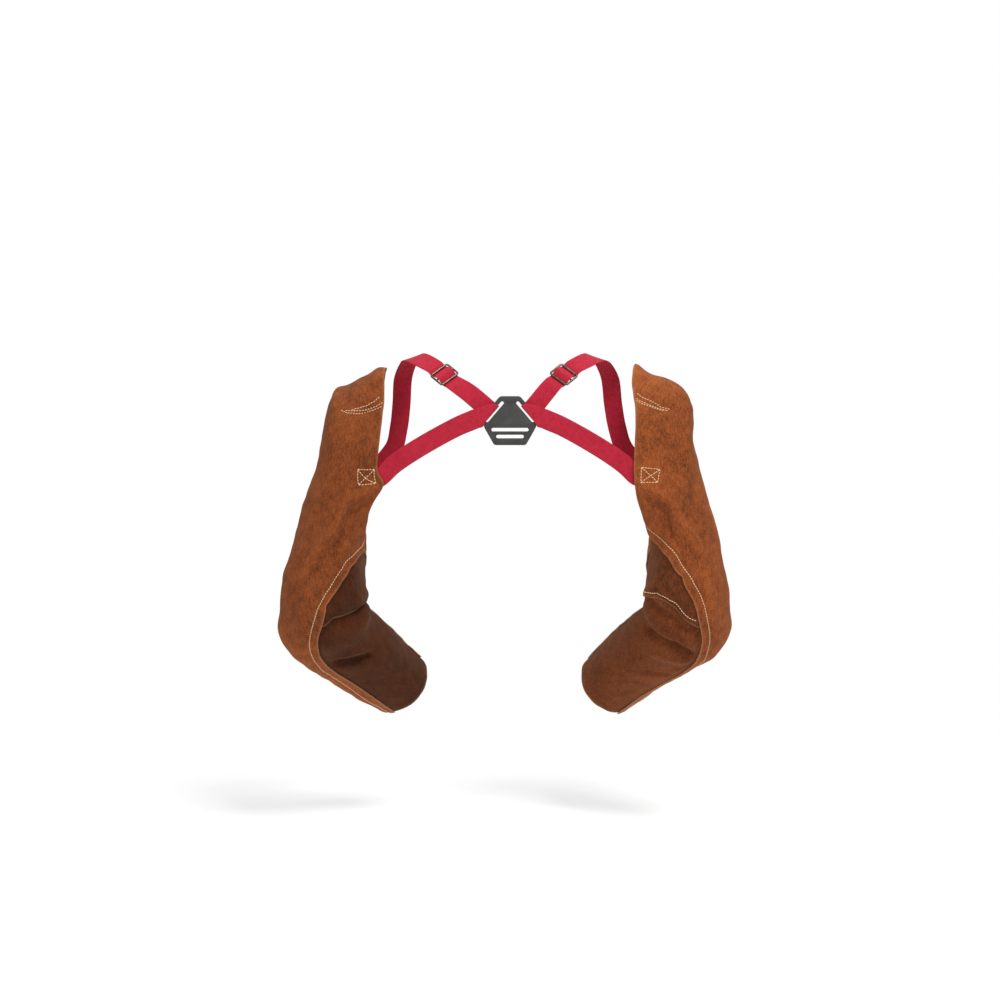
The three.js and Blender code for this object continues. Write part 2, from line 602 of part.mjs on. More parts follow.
function roundedBox(path, x0, y0, x1, y1, radius) {
  path.moveTo(x0 + radius, y0);
  path.absarc(x1 - radius, y0 + radius, radius, -Math.PI / 2, 0);
  path.absarc(x1 - radius, y1 - radius, radius, 0, Math.PI / 2);
  path.absarc(x0 + radius, y1 - radius, radius, Math.PI / 2, Math.PI);
  path.absarc(x0 + radius, y0 + radius, radius, Math.PI, Math.PI * 1.5);
  path.closePath();
  return path;
}

function slideBuckle(side) {
  const halfBar = BUCKLE_BAR / 2;
  const halfWide = BUCKLE_INSIDE / 2 + BUCKLE_BAR;
  const halfLong = BUCKLE_PITCH + halfBar;
  const shape = roundedBox(new THREE.Shape(), -halfWide, -halfLong, halfWide, halfLong, BUCKLE_CORNER);
  const windowHalf = BUCKLE_INSIDE / 2;
  const corner = BUCKLE_CORNER - BUCKLE_BAR / 2;
  for (const y of [-halfLong + BUCKLE_BAR, halfBar]) {
    const top = y + BUCKLE_PITCH - BUCKLE_BAR;
    shape.holes.push(roundedBox(new THREE.Path(), -windowHalf, y, windowHalf, top, corner));
  }
  const geometry = new THREE.ExtrudeGeometry(shape, {
    depth: BUCKLE_BAR - 2 * BUCKLE_BEVEL,
    bevelThickness: BUCKLE_BEVEL,
    bevelSize: BUCKLE_BEVEL,
    bevelOffset: -BUCKLE_BEVEL,
    bevelSegments: 1,
    curveSegments: CORNER_SEGMENTS,
  });
  geometry.translate(0, 0, BUCKLE_BEVEL - halfBar);
  const { centre, across } = tableStation(BUCKLE, side);
  const run = mirror(SLIDE_RUN, side);
  const facing = across.clone().cross(run);
  geometry.applyMatrix4(new THREE.Matrix4().makeBasis(across, run, facing).setPosition(centre));
  return geometry;
}

const part = new THREE.Group();
part.name = "welding_sleeves";
for (const [side, label] of [
  [LEFT, "left"],
  [RIGHT, "right"],
]) {
  part.add(
    sleeve(side, label),
    mesh(`${label}_strap`, strap(side), WEBBING),
    mesh(`${label}_slide_buckle`, slideBuckle(side), METAL),
  );
}
part.add(mesh("back_plate", backPlate(), PLASTIC));

export default part;
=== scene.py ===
# %% [markdown]
# # Leather welding sleeves on a webbing harness
# A pair of split-leather sleeves hangs from two crimson straps, which meet at a slotted plastic plate.
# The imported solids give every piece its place. This lesson dresses them: the leather is rolled from
# flat grids, sewn with small stitches, and the straps, slides and plate get their real sections.

# %% Load the frame
import math
from collections import namedtuple

import bpy
import numpy as np
from mathutils import Matrix, Vector


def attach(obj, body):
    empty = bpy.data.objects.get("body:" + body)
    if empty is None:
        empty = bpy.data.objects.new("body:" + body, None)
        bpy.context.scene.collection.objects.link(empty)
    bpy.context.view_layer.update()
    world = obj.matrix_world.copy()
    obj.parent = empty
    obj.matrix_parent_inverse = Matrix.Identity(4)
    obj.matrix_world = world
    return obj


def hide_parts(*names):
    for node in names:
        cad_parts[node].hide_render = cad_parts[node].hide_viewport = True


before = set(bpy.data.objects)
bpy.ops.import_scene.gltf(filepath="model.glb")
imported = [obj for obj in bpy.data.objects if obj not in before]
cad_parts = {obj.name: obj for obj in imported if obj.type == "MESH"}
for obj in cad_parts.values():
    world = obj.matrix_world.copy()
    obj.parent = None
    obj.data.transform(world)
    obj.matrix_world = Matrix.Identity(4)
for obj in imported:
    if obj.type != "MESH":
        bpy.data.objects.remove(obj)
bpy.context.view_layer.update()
bpy.ops.object.select_all(action="DESELECT")
MM = 0.001
print("nodes:", ", ".join(sorted(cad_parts)))

# %% [markdown]
# ## Camera
# The picture looks straight at the harness from behind, level, from far enough away that the two
# sleeves hardly differ in size. A long lens at 2.6 m gives the same flat perspective.

# %% Camera
CAMERA_PLACE = (-0.0145, -2.6, -0.115)
CAMERA_LENS, SENSOR_WIDTH = 64.55, 36
bpy.ops.object.camera_add(location=CAMERA_PLACE, rotation=(math.radians(90), 0, 0))
camera = bpy.context.object
camera.data.lens = CAMERA_LENS
camera.data.sensor_width = SENSOR_WIDTH
bpy.context.scene.camera = camera
bpy.context.scene.view_settings.view_transform = "Standard"
print("camera at", tuple(camera.location))

# %% [markdown]
# ## Shader arithmetic
# A finish is a sum of noises and masks. Written as Python expressions they are easy to read, so a small
# class wraps a socket: arithmetic on it adds Math nodes, and its node method adds any other node.


# %% The shader class
class Shade:
    """A socket of a shader tree. Arithmetic on it adds Math nodes, and node() adds any other node."""

    def __init__(self, tree, socket=None):
        self.tree = tree
        self.socket = socket

    def node(self, kind, sockets, output=0, **settings):
        made = self.tree.nodes.new("ShaderNode" + kind)
        for name, value in settings.items():
            setattr(made, name, value)
        for name, value in sockets.items():
            self.put(made.inputs[name], value)
        return Shade(self.tree, made.outputs[output])

    def put(self, target, value):
        if isinstance(value, Shade):
            self.tree.links.new(value.socket, target)
        else:
            target.default_value = value

    def dress(self, values):
        for name, value in values.items():
            self.put(self.tree.nodes["Principled BSDF"].inputs[name], value)

    def math(self, operation, *values):
        return self.node("Math", dict(enumerate(values)), operation=operation)

    def mix(self, factor, first, second):
        return self.node("Mix", {0: factor, 6: first, 7: second}, 2, data_type="RGBA")

    def noise(self, where, scale, detail, roughness):
        sockets = {"Vector": where, "Scale": scale, "Detail": detail, "Roughness": roughness}
        return self.node("TexNoise", sockets)

    def place(self):
        return self.node("TexCoord", {}, "Object")

    def ramp(self, factor, *stops):
        """Colours at their positions along a factor."""
        made = self.node("ValToRGB", {"Fac": factor})
        elements = made.socket.node.color_ramp.elements
        while len(elements) < len(stops):
            elements.new(1.0)
        for element, (position, colour) in zip(elements, stops):
            element.position = position
            element.color = (*colour, 1.0)
        return made

    def bump(self, height, strength, distance):
        sockets = {"Strength": strength, "Distance": distance, "Height": height}
        return self.node("Bump", sockets)

    def stretched(self, where, scale):
        return self.node("VectorMath", {0: where, 1: scale}, operation="MULTIPLY")

    def __add__(self, other):
        return self.math("ADD", self, other)

    def __mul__(self, other):
        return self.math("MULTIPLY", self, other)

    __radd__ = __add__
    __rmul__ = __mul__


def new_finish(name):
    material = bpy.data.materials.new(name)
    material.use_nodes = True
    return material, Shade(material.node_tree)


# %% [markdown]
# ## Studio
# A pale floor lies under the sleeves and fades out into a white surround, so no edge of it shows. Two
# wide lamps on the camera's side and one above give soft shading without hard shadows.

# %% Floor
FLOOR_PLACE = (0, 0.12, -0.62)
FLOOR_RADIUS, FLOOR_SIDES = 2.6, 96
FADE_START, FADE_END = 0.35, 1.7
FLOOR_GLOW = 0.3
bpy.ops.mesh.primitive_circle_add(
    vertices=FLOOR_SIDES, radius=FLOOR_RADIUS, fill_type="NGON", location=FLOOR_PLACE
)
floor = bpy.context.object
floor.name = "floor"
floor_finish, tree = new_finish("pale_floor")
tree.dress({
    "Base Color": (0.82, 0.82, 0.82, 1),
    "Roughness": 0.8,
    "Specular IOR Level": 0.2,
    "Emission Color": (1, 1, 1, 1),
    "Emission Strength": FLOOR_GLOW,
})
place = tree.place()
distance = tree.node("VectorMath", {0: place}, "Value", operation="LENGTH")
limits = {"Value": distance, "From Min": FADE_START, "From Max": FADE_END}
fade = tree.node("MapRange", limits, interpolation_type="SMOOTHSTEP")
solid = Shade(tree.tree, tree.tree.nodes["Principled BSDF"].outputs[0])
clear = tree.node("BsdfTransparent", {})
faded = tree.node("MixShader", {0: fade, 1: solid, 2: clear})
tree.put(tree.tree.nodes["Material Output"].inputs["Surface"], faded)
floor.data.materials.append(floor_finish)
print("floor at", FLOOR_PLACE[2], "m")

# %% Surround
SURROUND = 0.42
world = bpy.data.worlds.new("studio")
bpy.context.scene.world = world
world.use_nodes = True
sky = Shade(world.node_tree)
seen = sky.node("LightPath", {}, "Is Camera Ray")
brightness = seen * (1.0 - SURROUND) + SURROUND
surround = sky.node("Background", {"Color": (1, 1, 1, 1), "Strength": brightness})
sky.put(world.node_tree.nodes["World Output"].inputs["Surface"], surround)
print("surround of", SURROUND)

# %% Lamps
Lamp = namedtuple("Lamp", "name place size power")
LAMPS = [
    Lamp("key_lamp", (1.0, -2.1, 2.6), 1.1, 82),
    Lamp("fill_lamp", (-1.8, -2.1, 1.4), 1.4, 18),
    Lamp("top_lamp", (0.0, 0.9, 2.0), 1.4, 16),
]
AIM = (0.0, 0.1, -0.15)
for lamp in LAMPS:
    bpy.ops.object.light_add(type="AREA", location=lamp.place)
    light = bpy.context.object
    light.name = lamp.name
    light.data.size = lamp.size
    light.data.energy = lamp.power
    aim = Vector(AIM) - light.location
    light.rotation_euler = aim.to_track_quat("-Z", "Y").to_euler()
print(len(LAMPS), "lamps")

# %% [markdown]
# ## Suede
# Split leather is brushed on both sides. Its colour is blotchy on the scale of a hand, mottled on the
# scale of a finger, and streaked by the nap, which runs along the sleeve. Folds rub lighter on their
# crests, and painted shade darkens their valleys. The panels carry two attributes for this, relief and
# edge, and a map that follows the nap. The right sleeve is a little lighter than the left one, and the
# inner panels are darker than both, with painted shade of the kind that falls inside a worn sleeve.

# %% Suede finish
SUEDE = [(0.098, 0.024, 0.007), (0.223, 0.0545, 0.013), (0.335, 0.089, 0.0225)]
FLESH = [(0.2, 0.07, 0.024), (0.31, 0.115, 0.042), (0.42, 0.17, 0.07)]
TONE_STOPS = (0.4, 0.5, 0.6)
# The inner panels' low shares are painted shade, not a darker leather.
SUEDE_TONE_AND_SHADE_SHARES = {"left": 0.95, "right": 1.19, "left_inner": 0.27, "right_inner": 0.64}
RAW_EDGE = (0.5, 0.245, 0.115)
EDGE_WEAR = 0.35


def suede_finish(name, colours, share=1.0):
    """Suede in three colours, each taken by a share, with the raw edge's colour along the cuts."""
    material, tree = new_finish(name)
    place = tree.place()
    cut = tree.node("UVMap", {}, uv_map="cut")
    relief = tree.node("Attribute", {}, "Fac", attribute_name="relief")
    edge = tree.node("Attribute", {}, "Fac", attribute_name="edge")
    patches = tree.noise(place, 10.0, 3.0, 0.55)
    mottle = tree.noise(place, 70.0, 4.0, 0.65)
    grain = tree.noise(place, 480.0, 3.0, 0.6)
    streaks = tree.noise(tree.stretched(cut, (430.0, 105.0, 1.0)), 1.0, 3.0, 0.65)
    fibres = tree.noise(tree.stretched(cut, (1500.0, 420.0, 1.0)), 1.0, 2.0, 0.6)
    # relief lightens the fold crests as rubbing wear and darkens the valleys with painted shade.
    tone = 0.2 * patches + 0.21 * mottle + 0.3 * streaks + 0.29 * grain + 0.03 * relief
    stops = [(at, tuple(share * part for part in stop)) for at, stop in zip(TONE_STOPS, colours)]
    colour = tree.ramp(tone, *stops)
    worn = tree.mix(edge * EDGE_WEAR, colour, (*RAW_EDGE, 1))
    height = 0.5 * grain + 0.35 * fibres + 0.15 * streaks
    bump = tree.bump(height, 0.55, 0.0012)
    tree.dress({
        "Base Color": worn,
        "Roughness": 0.8 + 0.25 * grain,
        "Normal": bump,
        "Specular IOR Level": 0.18,
        "Sheen Weight": 0.1,
        "Sheen Roughness": 0.55,
        "Sheen Tint": (0.85, 0.5, 0.28, 1),
    })
    return material


suedes = {name: suede_finish(f"{name}_suede", SUEDE, share) for name, share in SUEDE_TONE_AND_SHADE_SHARES.items()}
flesh_side = suede_finish("flesh_side", FLESH)
print(len(suedes), "suedes and the flesh side")

# %% Raw edge and thread finishes


def plain_fibre_finish(name, dark, light, scale, depth):
    material, tree = new_finish(name)
    place = tree.place()
    fibre = tree.noise(place, scale, 3.0, 0.65)
    colour = tree.ramp(fibre, (0.35, dark), (0.65, light))
    bump = tree.bump(fibre, 0.6, depth)
    tree.dress({"Base Color": colour, "Roughness": 0.9, "Normal": bump})
    return material


raw_edge = plain_fibre_finish("raw_edge", (0.31, 0.135, 0.06), (0.54, 0.29, 0.155), 700.0, 0.0006)
thread = plain_fibre_finish("thread", (0.72, 0.45, 0.22), (0.95, 0.73, 0.46), 900.0, 0.0004)
print("raw edge and thread")

# %% [markdown]
# ## The sleeve's surface
# Each sleeve is a bent tube. A table gives its sections from the armhole to the cuff, and a smooth curve
# runs through every column, so any place on the leather is a section number and an angle. The numbers
# are those of the solid, in millimetres, so the leather lands where the solid is.

# %% Section table
OUTER, INNER = slice(0, 3), slice(3, 6)
BACK, FRONT, BOW, SEAM, FRONT_SEAM = range(6, 11)
SECTIONS = np.array([
    (185, 95, 81, 213, 92, -183, 84, 84, 12, 161, 161),
    (238, 96, 65, 213, 92, -194, 88, 88, 8, 157, 157),
    (266, 97, 40, 213, 92, -204, 89, 89, 3, 150, 153),
    (275, 97, -10, 213, 92, -214, 88, 88, 0, 141, 148),
    (283, 97, -65, 212, 92, -223, 87, 87, 0, 131, 142),
    (300, 97, -120, 211, 92, -230, 85, 84, 0, 121, 135),
    (316, 96, -175, 209, 93, -240, 82, 76, 0, 111, 128),
    (329, 94, -226, 208, 94, -252, 78, 60, 0, 99, 122),
    (334, 99, -269, 209, 95, -266, 73, 47, 0, 86, 118),
    (331, 117, -308, 207, 101, -280, 66, 43, 0, 72, 118),
    (310, 143, -336, 199, 113, -294, 60, 47, 0, 62, 120),
    (277, 180, -365, 175, 148, -319, 57, 55, 0, 60, 122),
    (242, 216, -395, 151, 185, -350, 54, 58, 0, 60, 124),
    (205, 256, -428, 120, 227, -388, 51, 54, 0, 60, 124),
], float)
LAST = len(SECTIONS) - 1
ROUNDNESS = 0.9
SWAY = 0.022
LEFT, BOTH, RIGHT = -1, 0, 1
RIGHT_TWIST = 14
LEATHER = 1.6
GAP = 0.5
PLY = LEATHER + GAP
SEAM_LAP = 13
SEAM_TUCK = 11
CROSS_SEAM, CROSS_LAP, CROSS_TUCK, CROSS_RISE = 8, 0.35, 0.4, 0.8
SLOPE_SECTION, SLOPE_ANGLE = 0.05, 0.8
FRONT_CUT, FRONT_CUT_POWER, FRONT_CUT_REACH = 13, 0.7, 3
Pull = namedtuple("Pull", "side amount at spread")
PULLS = [
    Pull(LEFT, 18, 113, 9.5),
    Pull(RIGHT, 16, 115, 34),
    Pull(RIGHT, 8.5, 34, 24),
    Pull(RIGHT, 6, 154, 20),
    Pull(BOTH, 3, 148, 20),
]
PULL_REACH, PULL_SECTION = 2.5, 1
Climb = namedtuple("Climb", "sections degrees")
CLIMBS = {LEFT: Climb(0.2, 20), RIGHT: Climb(0.9, 60)}
CLIMB_START, CLIMB_END = (4.5, 7.4), (8.5, 10.8)
print(len(SECTIONS), "sections")

# %% Places and slopes of the surface


def hermite(f, first, last, leave, arrive):
    """Places between two values, on the smooth curve that has these slopes at its ends."""
    start = (2 * f**3 - 3 * f**2 + 1) * first + (f**3 - 2 * f**2 + f) * leave
    return start + (3 * f**2 - 2 * f**3) * last + (f**3 - f**2) * arrive


def through_rows(table, s):
    """Every column of a table at the places s, on a smooth curve through its rows."""
    known = np.concatenate([2 * table[:1] - table[1:2], table, 2 * table[-1:] - table[-2:-1]])
    i = np.clip(np.floor(s).astype(int), 0, len(table) - 2)
    f = (s - i)[..., None]
    a, b, c, d = (known[i + k] for k in range(4))
    return hermite(f, b, c, (c - a) / 2, (d - b) / 2)


def smoothstep(value, low, high):
    t = np.clip((value - low) / (high - low), 0, 1)
    return t * t * (3 - 2 * t)


def edge_share(s, reach):
    """Share of an effect of the armhole's edge that is left at a place."""
    return 1 - smoothstep(s, 0, reach)


def unit(vectors):
    return vectors / np.linalg.norm(vectors, axis=-1, keepdims=True)


def section_centre(s):
    row = through_rows(SECTIONS, s)
    return (row[..., OUTER] + row[..., INNER]) / 2


def boxy(value):
    return np.sign(value) * np.abs(value) ** ROUNDNESS


def smooth_point(s, angle):
    row = through_rows(SECTIONS, s)
    up = (row[..., OUTER] - row[..., INNER]) / 2
    along = unit(section_centre(s + SLOPE_SECTION) - section_centre(s - SLOPE_SECTION))
    back = unit(np.cross(along, up))
    cos, sin = np.cos(np.radians(angle)), np.sin(np.radians(angle))
    depth = np.where(sin > 0, row[..., BACK], row[..., FRONT]) * boxy(sin)
    front_cut = FRONT_CUT * edge_share(s, FRONT_CUT_REACH)
    edge = np.where(sin > 0, row[..., BOW] * sin * sin, -front_cut * np.abs(sin) ** FRONT_CUT_POWER)
    middle = section_centre(s) + up * boxy(cos)[..., None]
    return middle + back * depth[..., None] - along * edge[..., None]


def slopes(s, angle, point=smooth_point):
    """Change of place for one section and for one degree, and the outward normal."""
    along = (point(s + SLOPE_SECTION, angle) - point(s - SLOPE_SECTION, angle)) / (2 * SLOPE_SECTION)
    round_it = (point(s, angle + SLOPE_ANGLE) - point(s, angle - SLOPE_ANGLE)) / (2 * SLOPE_ANGLE)
    return along, round_it, unit(np.cross(round_it, along))


def pulled_point(side, s, angle):
    """A place on the surface, with the armhole's edge pulled towards the straps."""
    pulls = [pull for pull in PULLS if pull.side in (BOTH, side)]
    tug = sum(pull.amount * np.exp(-(((angle - pull.at) / pull.spread) ** 2)) for pull in pulls)
    tug = tug * edge_share(s, PULL_REACH)
    way = unit(slopes(np.full_like(angle, PULL_SECTION), angle)[0])
    return smooth_point(s, angle) - way * tug[..., None]


def sleeve_slopes(side, s, angle):
    return slopes(s, angle, lambda row, turn: pulled_point(side, row, turn))


def length_of(vectors):
    return np.linalg.norm(vectors, axis=-1)


def mirrored(vectors, side):
    return vectors * np.array([side, 1.0, 1.0])


def placed(points, side):
    moved = mirrored(points, side)
    moved[..., 0] += SWAY * points[..., 2]
    return moved


# %% [markdown]
# ## Folds
# A fold is a line on the leather with a height and a spread. The large ones are in the solid too. The
# fine ones are only here: drag lines from the armpit, creases in the crook of the elbow, and the grooves
# of the dart and box stitches. A sharpness of 2 rounds a crest over, a lower one creases it.

# %% Fold tables
ROUND_CREST = 2
Fold = namedtuple("Fold", "side s0 a0 s1 a1 height spread sharpness", defaults=(ROUND_CREST,))


def folds(*rows):
    return [Fold(*row) for row in rows]


FOLDS = folds(
    (LEFT, 0.2, -35, 0.2, 35, 7, 13),
    (RIGHT, 0.05, -30, 0.05, 32, 9, 14),
    (LEFT, 1.15, 5, 1.2, 44, -6, 12),
    (LEFT, 1.6, 0, 1.65, 40, 4, 10),
    (RIGHT, 1.5, 5, 1.7, 40, 1, 16),
    (BOTH, 0, 54, 0.65, 60, -2, 8),
    (BOTH, 0.65, 60, 1.25, 51, -2.5, 8),
    (BOTH, 8.8, 12, 9.5, 32, 8, 25),
    (LEFT, 3.5, 30, 8.8, 25, 4.5, 36),
    (RIGHT, 4.6, 35, 6, 30, 2.5, 30),
    (LEFT, 10.3, 40, 12, 42, 7, 26),
    (RIGHT, 9.7, 55, 11.5, 60, 3, 24),
    (LEFT, 0.5, 114, 7.8, 66, 4, 14),
    (LEFT, 2, 137, 7.6, 82, 3, 9),
    (RIGHT, 0.7, 120, 7.8, 64, 4.5, 15),
    (RIGHT, 3.1, -25, 3.1, 30, -5, 24),
)
INNER_FOLDS = folds(
    (LEFT, 8.25, 92, 8.2, 165, -8, 10),
    (LEFT, 9, 85, 9, 180, 6, 20),
    (LEFT, 9.95, 72, 10.5, 125, -8, 9),
    (LEFT, 7.3, 120, 7.6, 200, 5, 16),
    (RIGHT, 8.5, 92, 7.6, 165, -7, 9),
    (RIGHT, 8.85, 88, 8.5, 170, 5, 13),
    (RIGHT, 9.5, 76, 9.25, 100, -7, 8),
    (RIGHT, 9.25, 100, 9.4, 150, -7, 8),
    (RIGHT, 9.75, 68, 10.05, 112, 5, 9),
    (RIGHT, 7.1, 130, 7.5, 190, 4, 16),
)
FINE_FOLDS = folds(
    (LEFT, 0.98, 111, 5, 90, 4, 5, 1.3),
    (LEFT, 1.3, 119, 5.2, 99, -2.4, 7),
    (LEFT, 4.4, 95.5, 7, 57.5, 4, 5, 1.3),
    (LEFT, 4.6, 105, 7.2, 67, -2.4, 6),
    (LEFT, 2.4, 86, 5.4, 60, -1.2, 9),
    (LEFT, 4.6, 40, 6.6, 30, -1.4, 14),
    (LEFT, 7.4, 20, 8.6, 45, -1.5, 10),
    (RIGHT, 0.7, 109.5, 3.23, 101.4, 5.6, 5, 1.3),
    (RIGHT, 3.47, 99.6, 5.9, 70.5, 6.2, 5, 1.3),
    (RIGHT, 0.9, 117, 3.43, 109.5, -3.6, 7),
    (RIGHT, 3.78, 107, 6.2, 79, -4.2, 7),
    (RIGHT, 2.2, 78, 4.2, 62, -1.6, 8),
    (RIGHT, 4.8, 52, 6.6, 36, -1.2, 12),
    (RIGHT, 2.2, 30, 3.6, 44, 1.5, 8, 1.6),
    (BOTH, 9.6, -60, 8.6, -110, -2, 6, 1.6),
    (BOTH, 8.4, -70, 8, -120, 1.8, 6, 1.6),
    (BOTH, 10.4, -40, 10, -100, 1.5, 7, 1.8),
    (BOTH, 11.4, -10, 11.9, 40, -1.2, 10),
    (BOTH, 12.2, -90, 12.6, -30, 1.2, 9),
)
FINE_INNER_FOLDS = folds(
    (LEFT, 9.6, 74, 10.1, 124, 3, 5, 1.5),
    (LEFT, 10.05, 74, 10.6, 124, -3.5, 5, 1.8),
    (LEFT, 6.4, 128, 7.6, 150, 2, 6, 1.6),
    (LEFT, 7, 116, 7.9, 140, -2.2, 6, 1.8),
    (RIGHT, 9.05, 80, 8.95, 140, 2.4, 5, 1.5),
    (RIGHT, 9.4, 78, 9.2, 104, -3, 4, 1.6),
    (RIGHT, 9.2, 104, 9.35, 150, -3, 4, 1.6),
    (RIGHT, 5.6, 128, 7.2, 142, -4.4, 6, 1.8),
    (RIGHT, 6.2, 112, 7.6, 118, 3.2, 6, 1.6),
    (RIGHT, 6.7, 126, 7.8, 108, -4, 5, 1.8),
    (RIGHT, 10.5, 72, 10.9, 100, -2.5, 5, 1.8),
)
print(len(FOLDS + INNER_FOLDS), "large folds and", len(FINE_FOLDS + FINE_INNER_FOLDS), "fine ones")

# %% Dart and box lines
DARTS = {
    LEFT: [
        [(0.15, 51.4), (0.31, 54.0), (0.54, 55.6), (0.78, 55.5), (1.05, 54.6)],
        [(0.04, 57.3), (0.24, 58.6), (0.48, 58.7), (0.72, 58.1), (1.02, 55.9), (1.3, 51.5)],
        [(0.06, 60.7), (0.31, 61.1), (0.57, 60.7), (0.87, 59.9), (1.2, 55.9), (1.47, 49.4)],
    ],
    RIGHT: [
        [(0.13, 49.7), (0.26, 51.7), (0.55, 52.9), (0.85, 54.7), (1.16, 52.7)],
        [(0.07, 54.8), (0.25, 55.7), (0.48, 56.3), (0.78, 56.4), (1.08, 55.2)],
        [(0.06, 56.8), (0.29, 57.5), (0.48, 57.3), (0.76, 57.2), (0.94, 57.0)],
    ],
}
BOX_CORNERS = {
    LEFT: [(0.16, 98.7), (0.96, 94.3), (1.1, 103.4), (0.41, 108.2)],
    RIGHT: [(0.39, 98.0), (1.15, 94.4), (1.17, 102.2), (0.43, 107.9)],
}
BOX_ORDERS = [(0, 1, 2, 3, 0), (0, 2), (1, 3)]
FRONT_BOX_RISE = 9.5
PUCKER, PUCKER_WIDTH = -0.9, 2.3


def box_lines(side):
    """The crossed boxes over the back and front strap ends, as lines of places on the leather."""
    back = BOX_CORNERS[side]
    front = [(s, FRONT_BOX_RISE - angle) for s, angle in back]
    return [[corners[k] for k in order] for corners in (back, front) for order in BOX_ORDERS]


def puckers(side):
    """The groove that each dart and box line pulls into the leather, as short folds."""
    pairs = [pair for line in [*DARTS[side], *box_lines(side)] for pair in zip(line, line[1:])]
    return [Fold(side, *p, *q, PUCKER, PUCKER_WIDTH) for p, q in pairs]


print(len(puckers(LEFT)), "puckers on the left,", len(puckers(RIGHT)), "on the right")

# %% Fold heights
RIPPLE_WAVES = 20
RIPPLE_STRETCH = (0.7, 1.6)


def fold_height(fold, s, angle):
    """Height of one fold at places on the sleeve, from their distance to its line."""
    middle_s, middle_a = (fold.s0 + fold.s1) / 2, (fold.a0 + fold.a1) / 2
    along, round_it, _ = slopes(np.array(middle_s), np.array(middle_a))
    scale = np.array([length_of(along), length_of(round_it)])
    turned = angle - 360 * np.round((angle - middle_a) / 360)
    line = np.array([fold.s1 - fold.s0, fold.a1 - fold.a0]) * scale
    here = np.stack([s - fold.s0, turned - fold.a0], -1) * scale
    share = np.clip(here @ line / (line @ line), 0, 1)
    distance = length_of(here - share[..., None] * line) / fold.spread
    return fold.height * np.exp(-(distance**fold.sharpness))


def fold_sum(folds, side, s, angle):
    return sum(fold_height(fold, s, angle) for fold in folds if fold.side in (BOTH, side))


def ripple(points, seed, wavelength):
    """Smooth random dents of about one wavelength, with a height near 1."""
    draw = np.random.default_rng(seed)
    direction = unit(draw.normal(size=(RIPPLE_WAVES, 3)))
    stretch = wavelength * draw.uniform(*RIPPLE_STRETCH, RIPPLE_WAVES)
    phase = draw.uniform(0, 2 * np.pi, RIPPLE_WAVES)
    waves = np.sin(points @ (direction / stretch[:, None]).T * 2 * np.pi + phase)
    return waves.sum(-1) / math.sqrt(RIPPLE_WAVES / 2)


# %% [markdown]
# ## Seams in the leather
# The large outer panel laps over the inner one, and a line of stitches pulls both down. So the leather
# has a groove along each stitch line, and the flap past it lifts a little and waves.

# %% Seam lines


def degrees_for(length, s, angle):
    return length / length_of(slopes(s, angle)[1])


def seam_angles(side, s):
    """Angles of the back and front stitch lines."""
    row = through_rows(SECTIONS, s)
    return row[..., SEAM] - (RIGHT_TWIST if side == RIGHT else 0), -row[..., FRONT_SEAM]


def panel_edges(side, s, reach):
    """Angles that lie a length of leather past the two stitch lines."""
    back, front = seam_angles(side, s)
    return front - degrees_for(reach, s, front), back + degrees_for(reach, s, back)


def outer_edges(side, s):
    return panel_edges(side, s, SEAM_LAP)


def seam_distance(side, s, angle):
    """Distance to the nearest of the two long stitch lines."""
    size = length_of(slopes(s, angle)[1])
    off = [(angle - seam + 180) % 360 - 180 for seam in seam_angles(side, s)]
    return np.minimum(np.abs(off[0]), np.abs(off[1])) * size


def past_flap(side, s, angle):
    """Degrees from the nearer edge of the outer panel to a place on the inner ones."""
    front, back = outer_edges(side, s)
    return np.minimum(angle - back, front + 360 - angle)


# %% Heights of the leather
GROOVE_DEPTH, GROOVE_WIDTH = 0.9, 2.6
FLAP_LIFT, FLAP_WIDTH, FLAP_WAVE, FLAP_SEED = 0.7, 5.0, 55.0, 31
FLAP_STEADY, FLAP_VARIED = 0.6, 0.4
FLAP_RELIEF = 18
DENT, DENT_LENGTH, DENT_SEED = 0.8, 75.0, 11
CRUMPLE, CRUMPLE_LENGTH, CRUMPLE_SEED = 0.22, 21.0, 21


def shared_height(side, s, angle):
    """Height of everything that the outer and inner panels have in common."""
    points = smooth_point(s, angle)
    height = fold_sum(FOLDS, side, s, angle) + fold_sum(FINE_FOLDS, side, s, angle)
    height += DENT * ripple(points, DENT_SEED + side, DENT_LENGTH)
    height += CRUMPLE * ripple(points, CRUMPLE_SEED + side, CRUMPLE_LENGTH)
    groove = np.exp(-((seam_distance(side, s, angle) / GROOVE_WIDTH) ** 2))
    return height - GROOVE_DEPTH * groove


def outer_height(side, row, s, angle):
    front, back = outer_edges(side, s)
    size = length_of(slopes(s, angle)[1])
    inside = np.minimum(back - angle, angle - front) * size
    wave = FLAP_STEADY + FLAP_VARIED * ripple(smooth_point(s, angle), FLAP_SEED + side, FLAP_WAVE)
    lift = FLAP_LIFT * np.maximum(wave, 0) * np.exp(-((np.maximum(inside, 0) / FLAP_WIDTH) ** 2))
    pucker = np.minimum.reduce([fold_height(fold, s, angle) for fold in puckers(side)])
    return shared_height(side, s, angle) + pucker + lift


def inner_fold_height(side, s, angle):
    reach = degrees_for(FLAP_RELIEF, s, angle)
    folds = INNER_FOLDS + FINE_INNER_FOLDS
    return smoothstep(past_flap(side, s, angle) / reach, 0, 1) * fold_sum(folds, side, s, angle)


def upper_height(side, row, s, angle):
    return shared_height(side, s, angle) + inner_fold_height(side, s, angle) - PLY


def lower_height(side, row, s, angle):
    rise = PLY * smoothstep(row, CROSS_SEAM + CROSS_LAP, CROSS_SEAM + CROSS_LAP + CROSS_RISE)
    return upper_height(side, row, s, angle) - PLY + rise


# %% Places of the leather


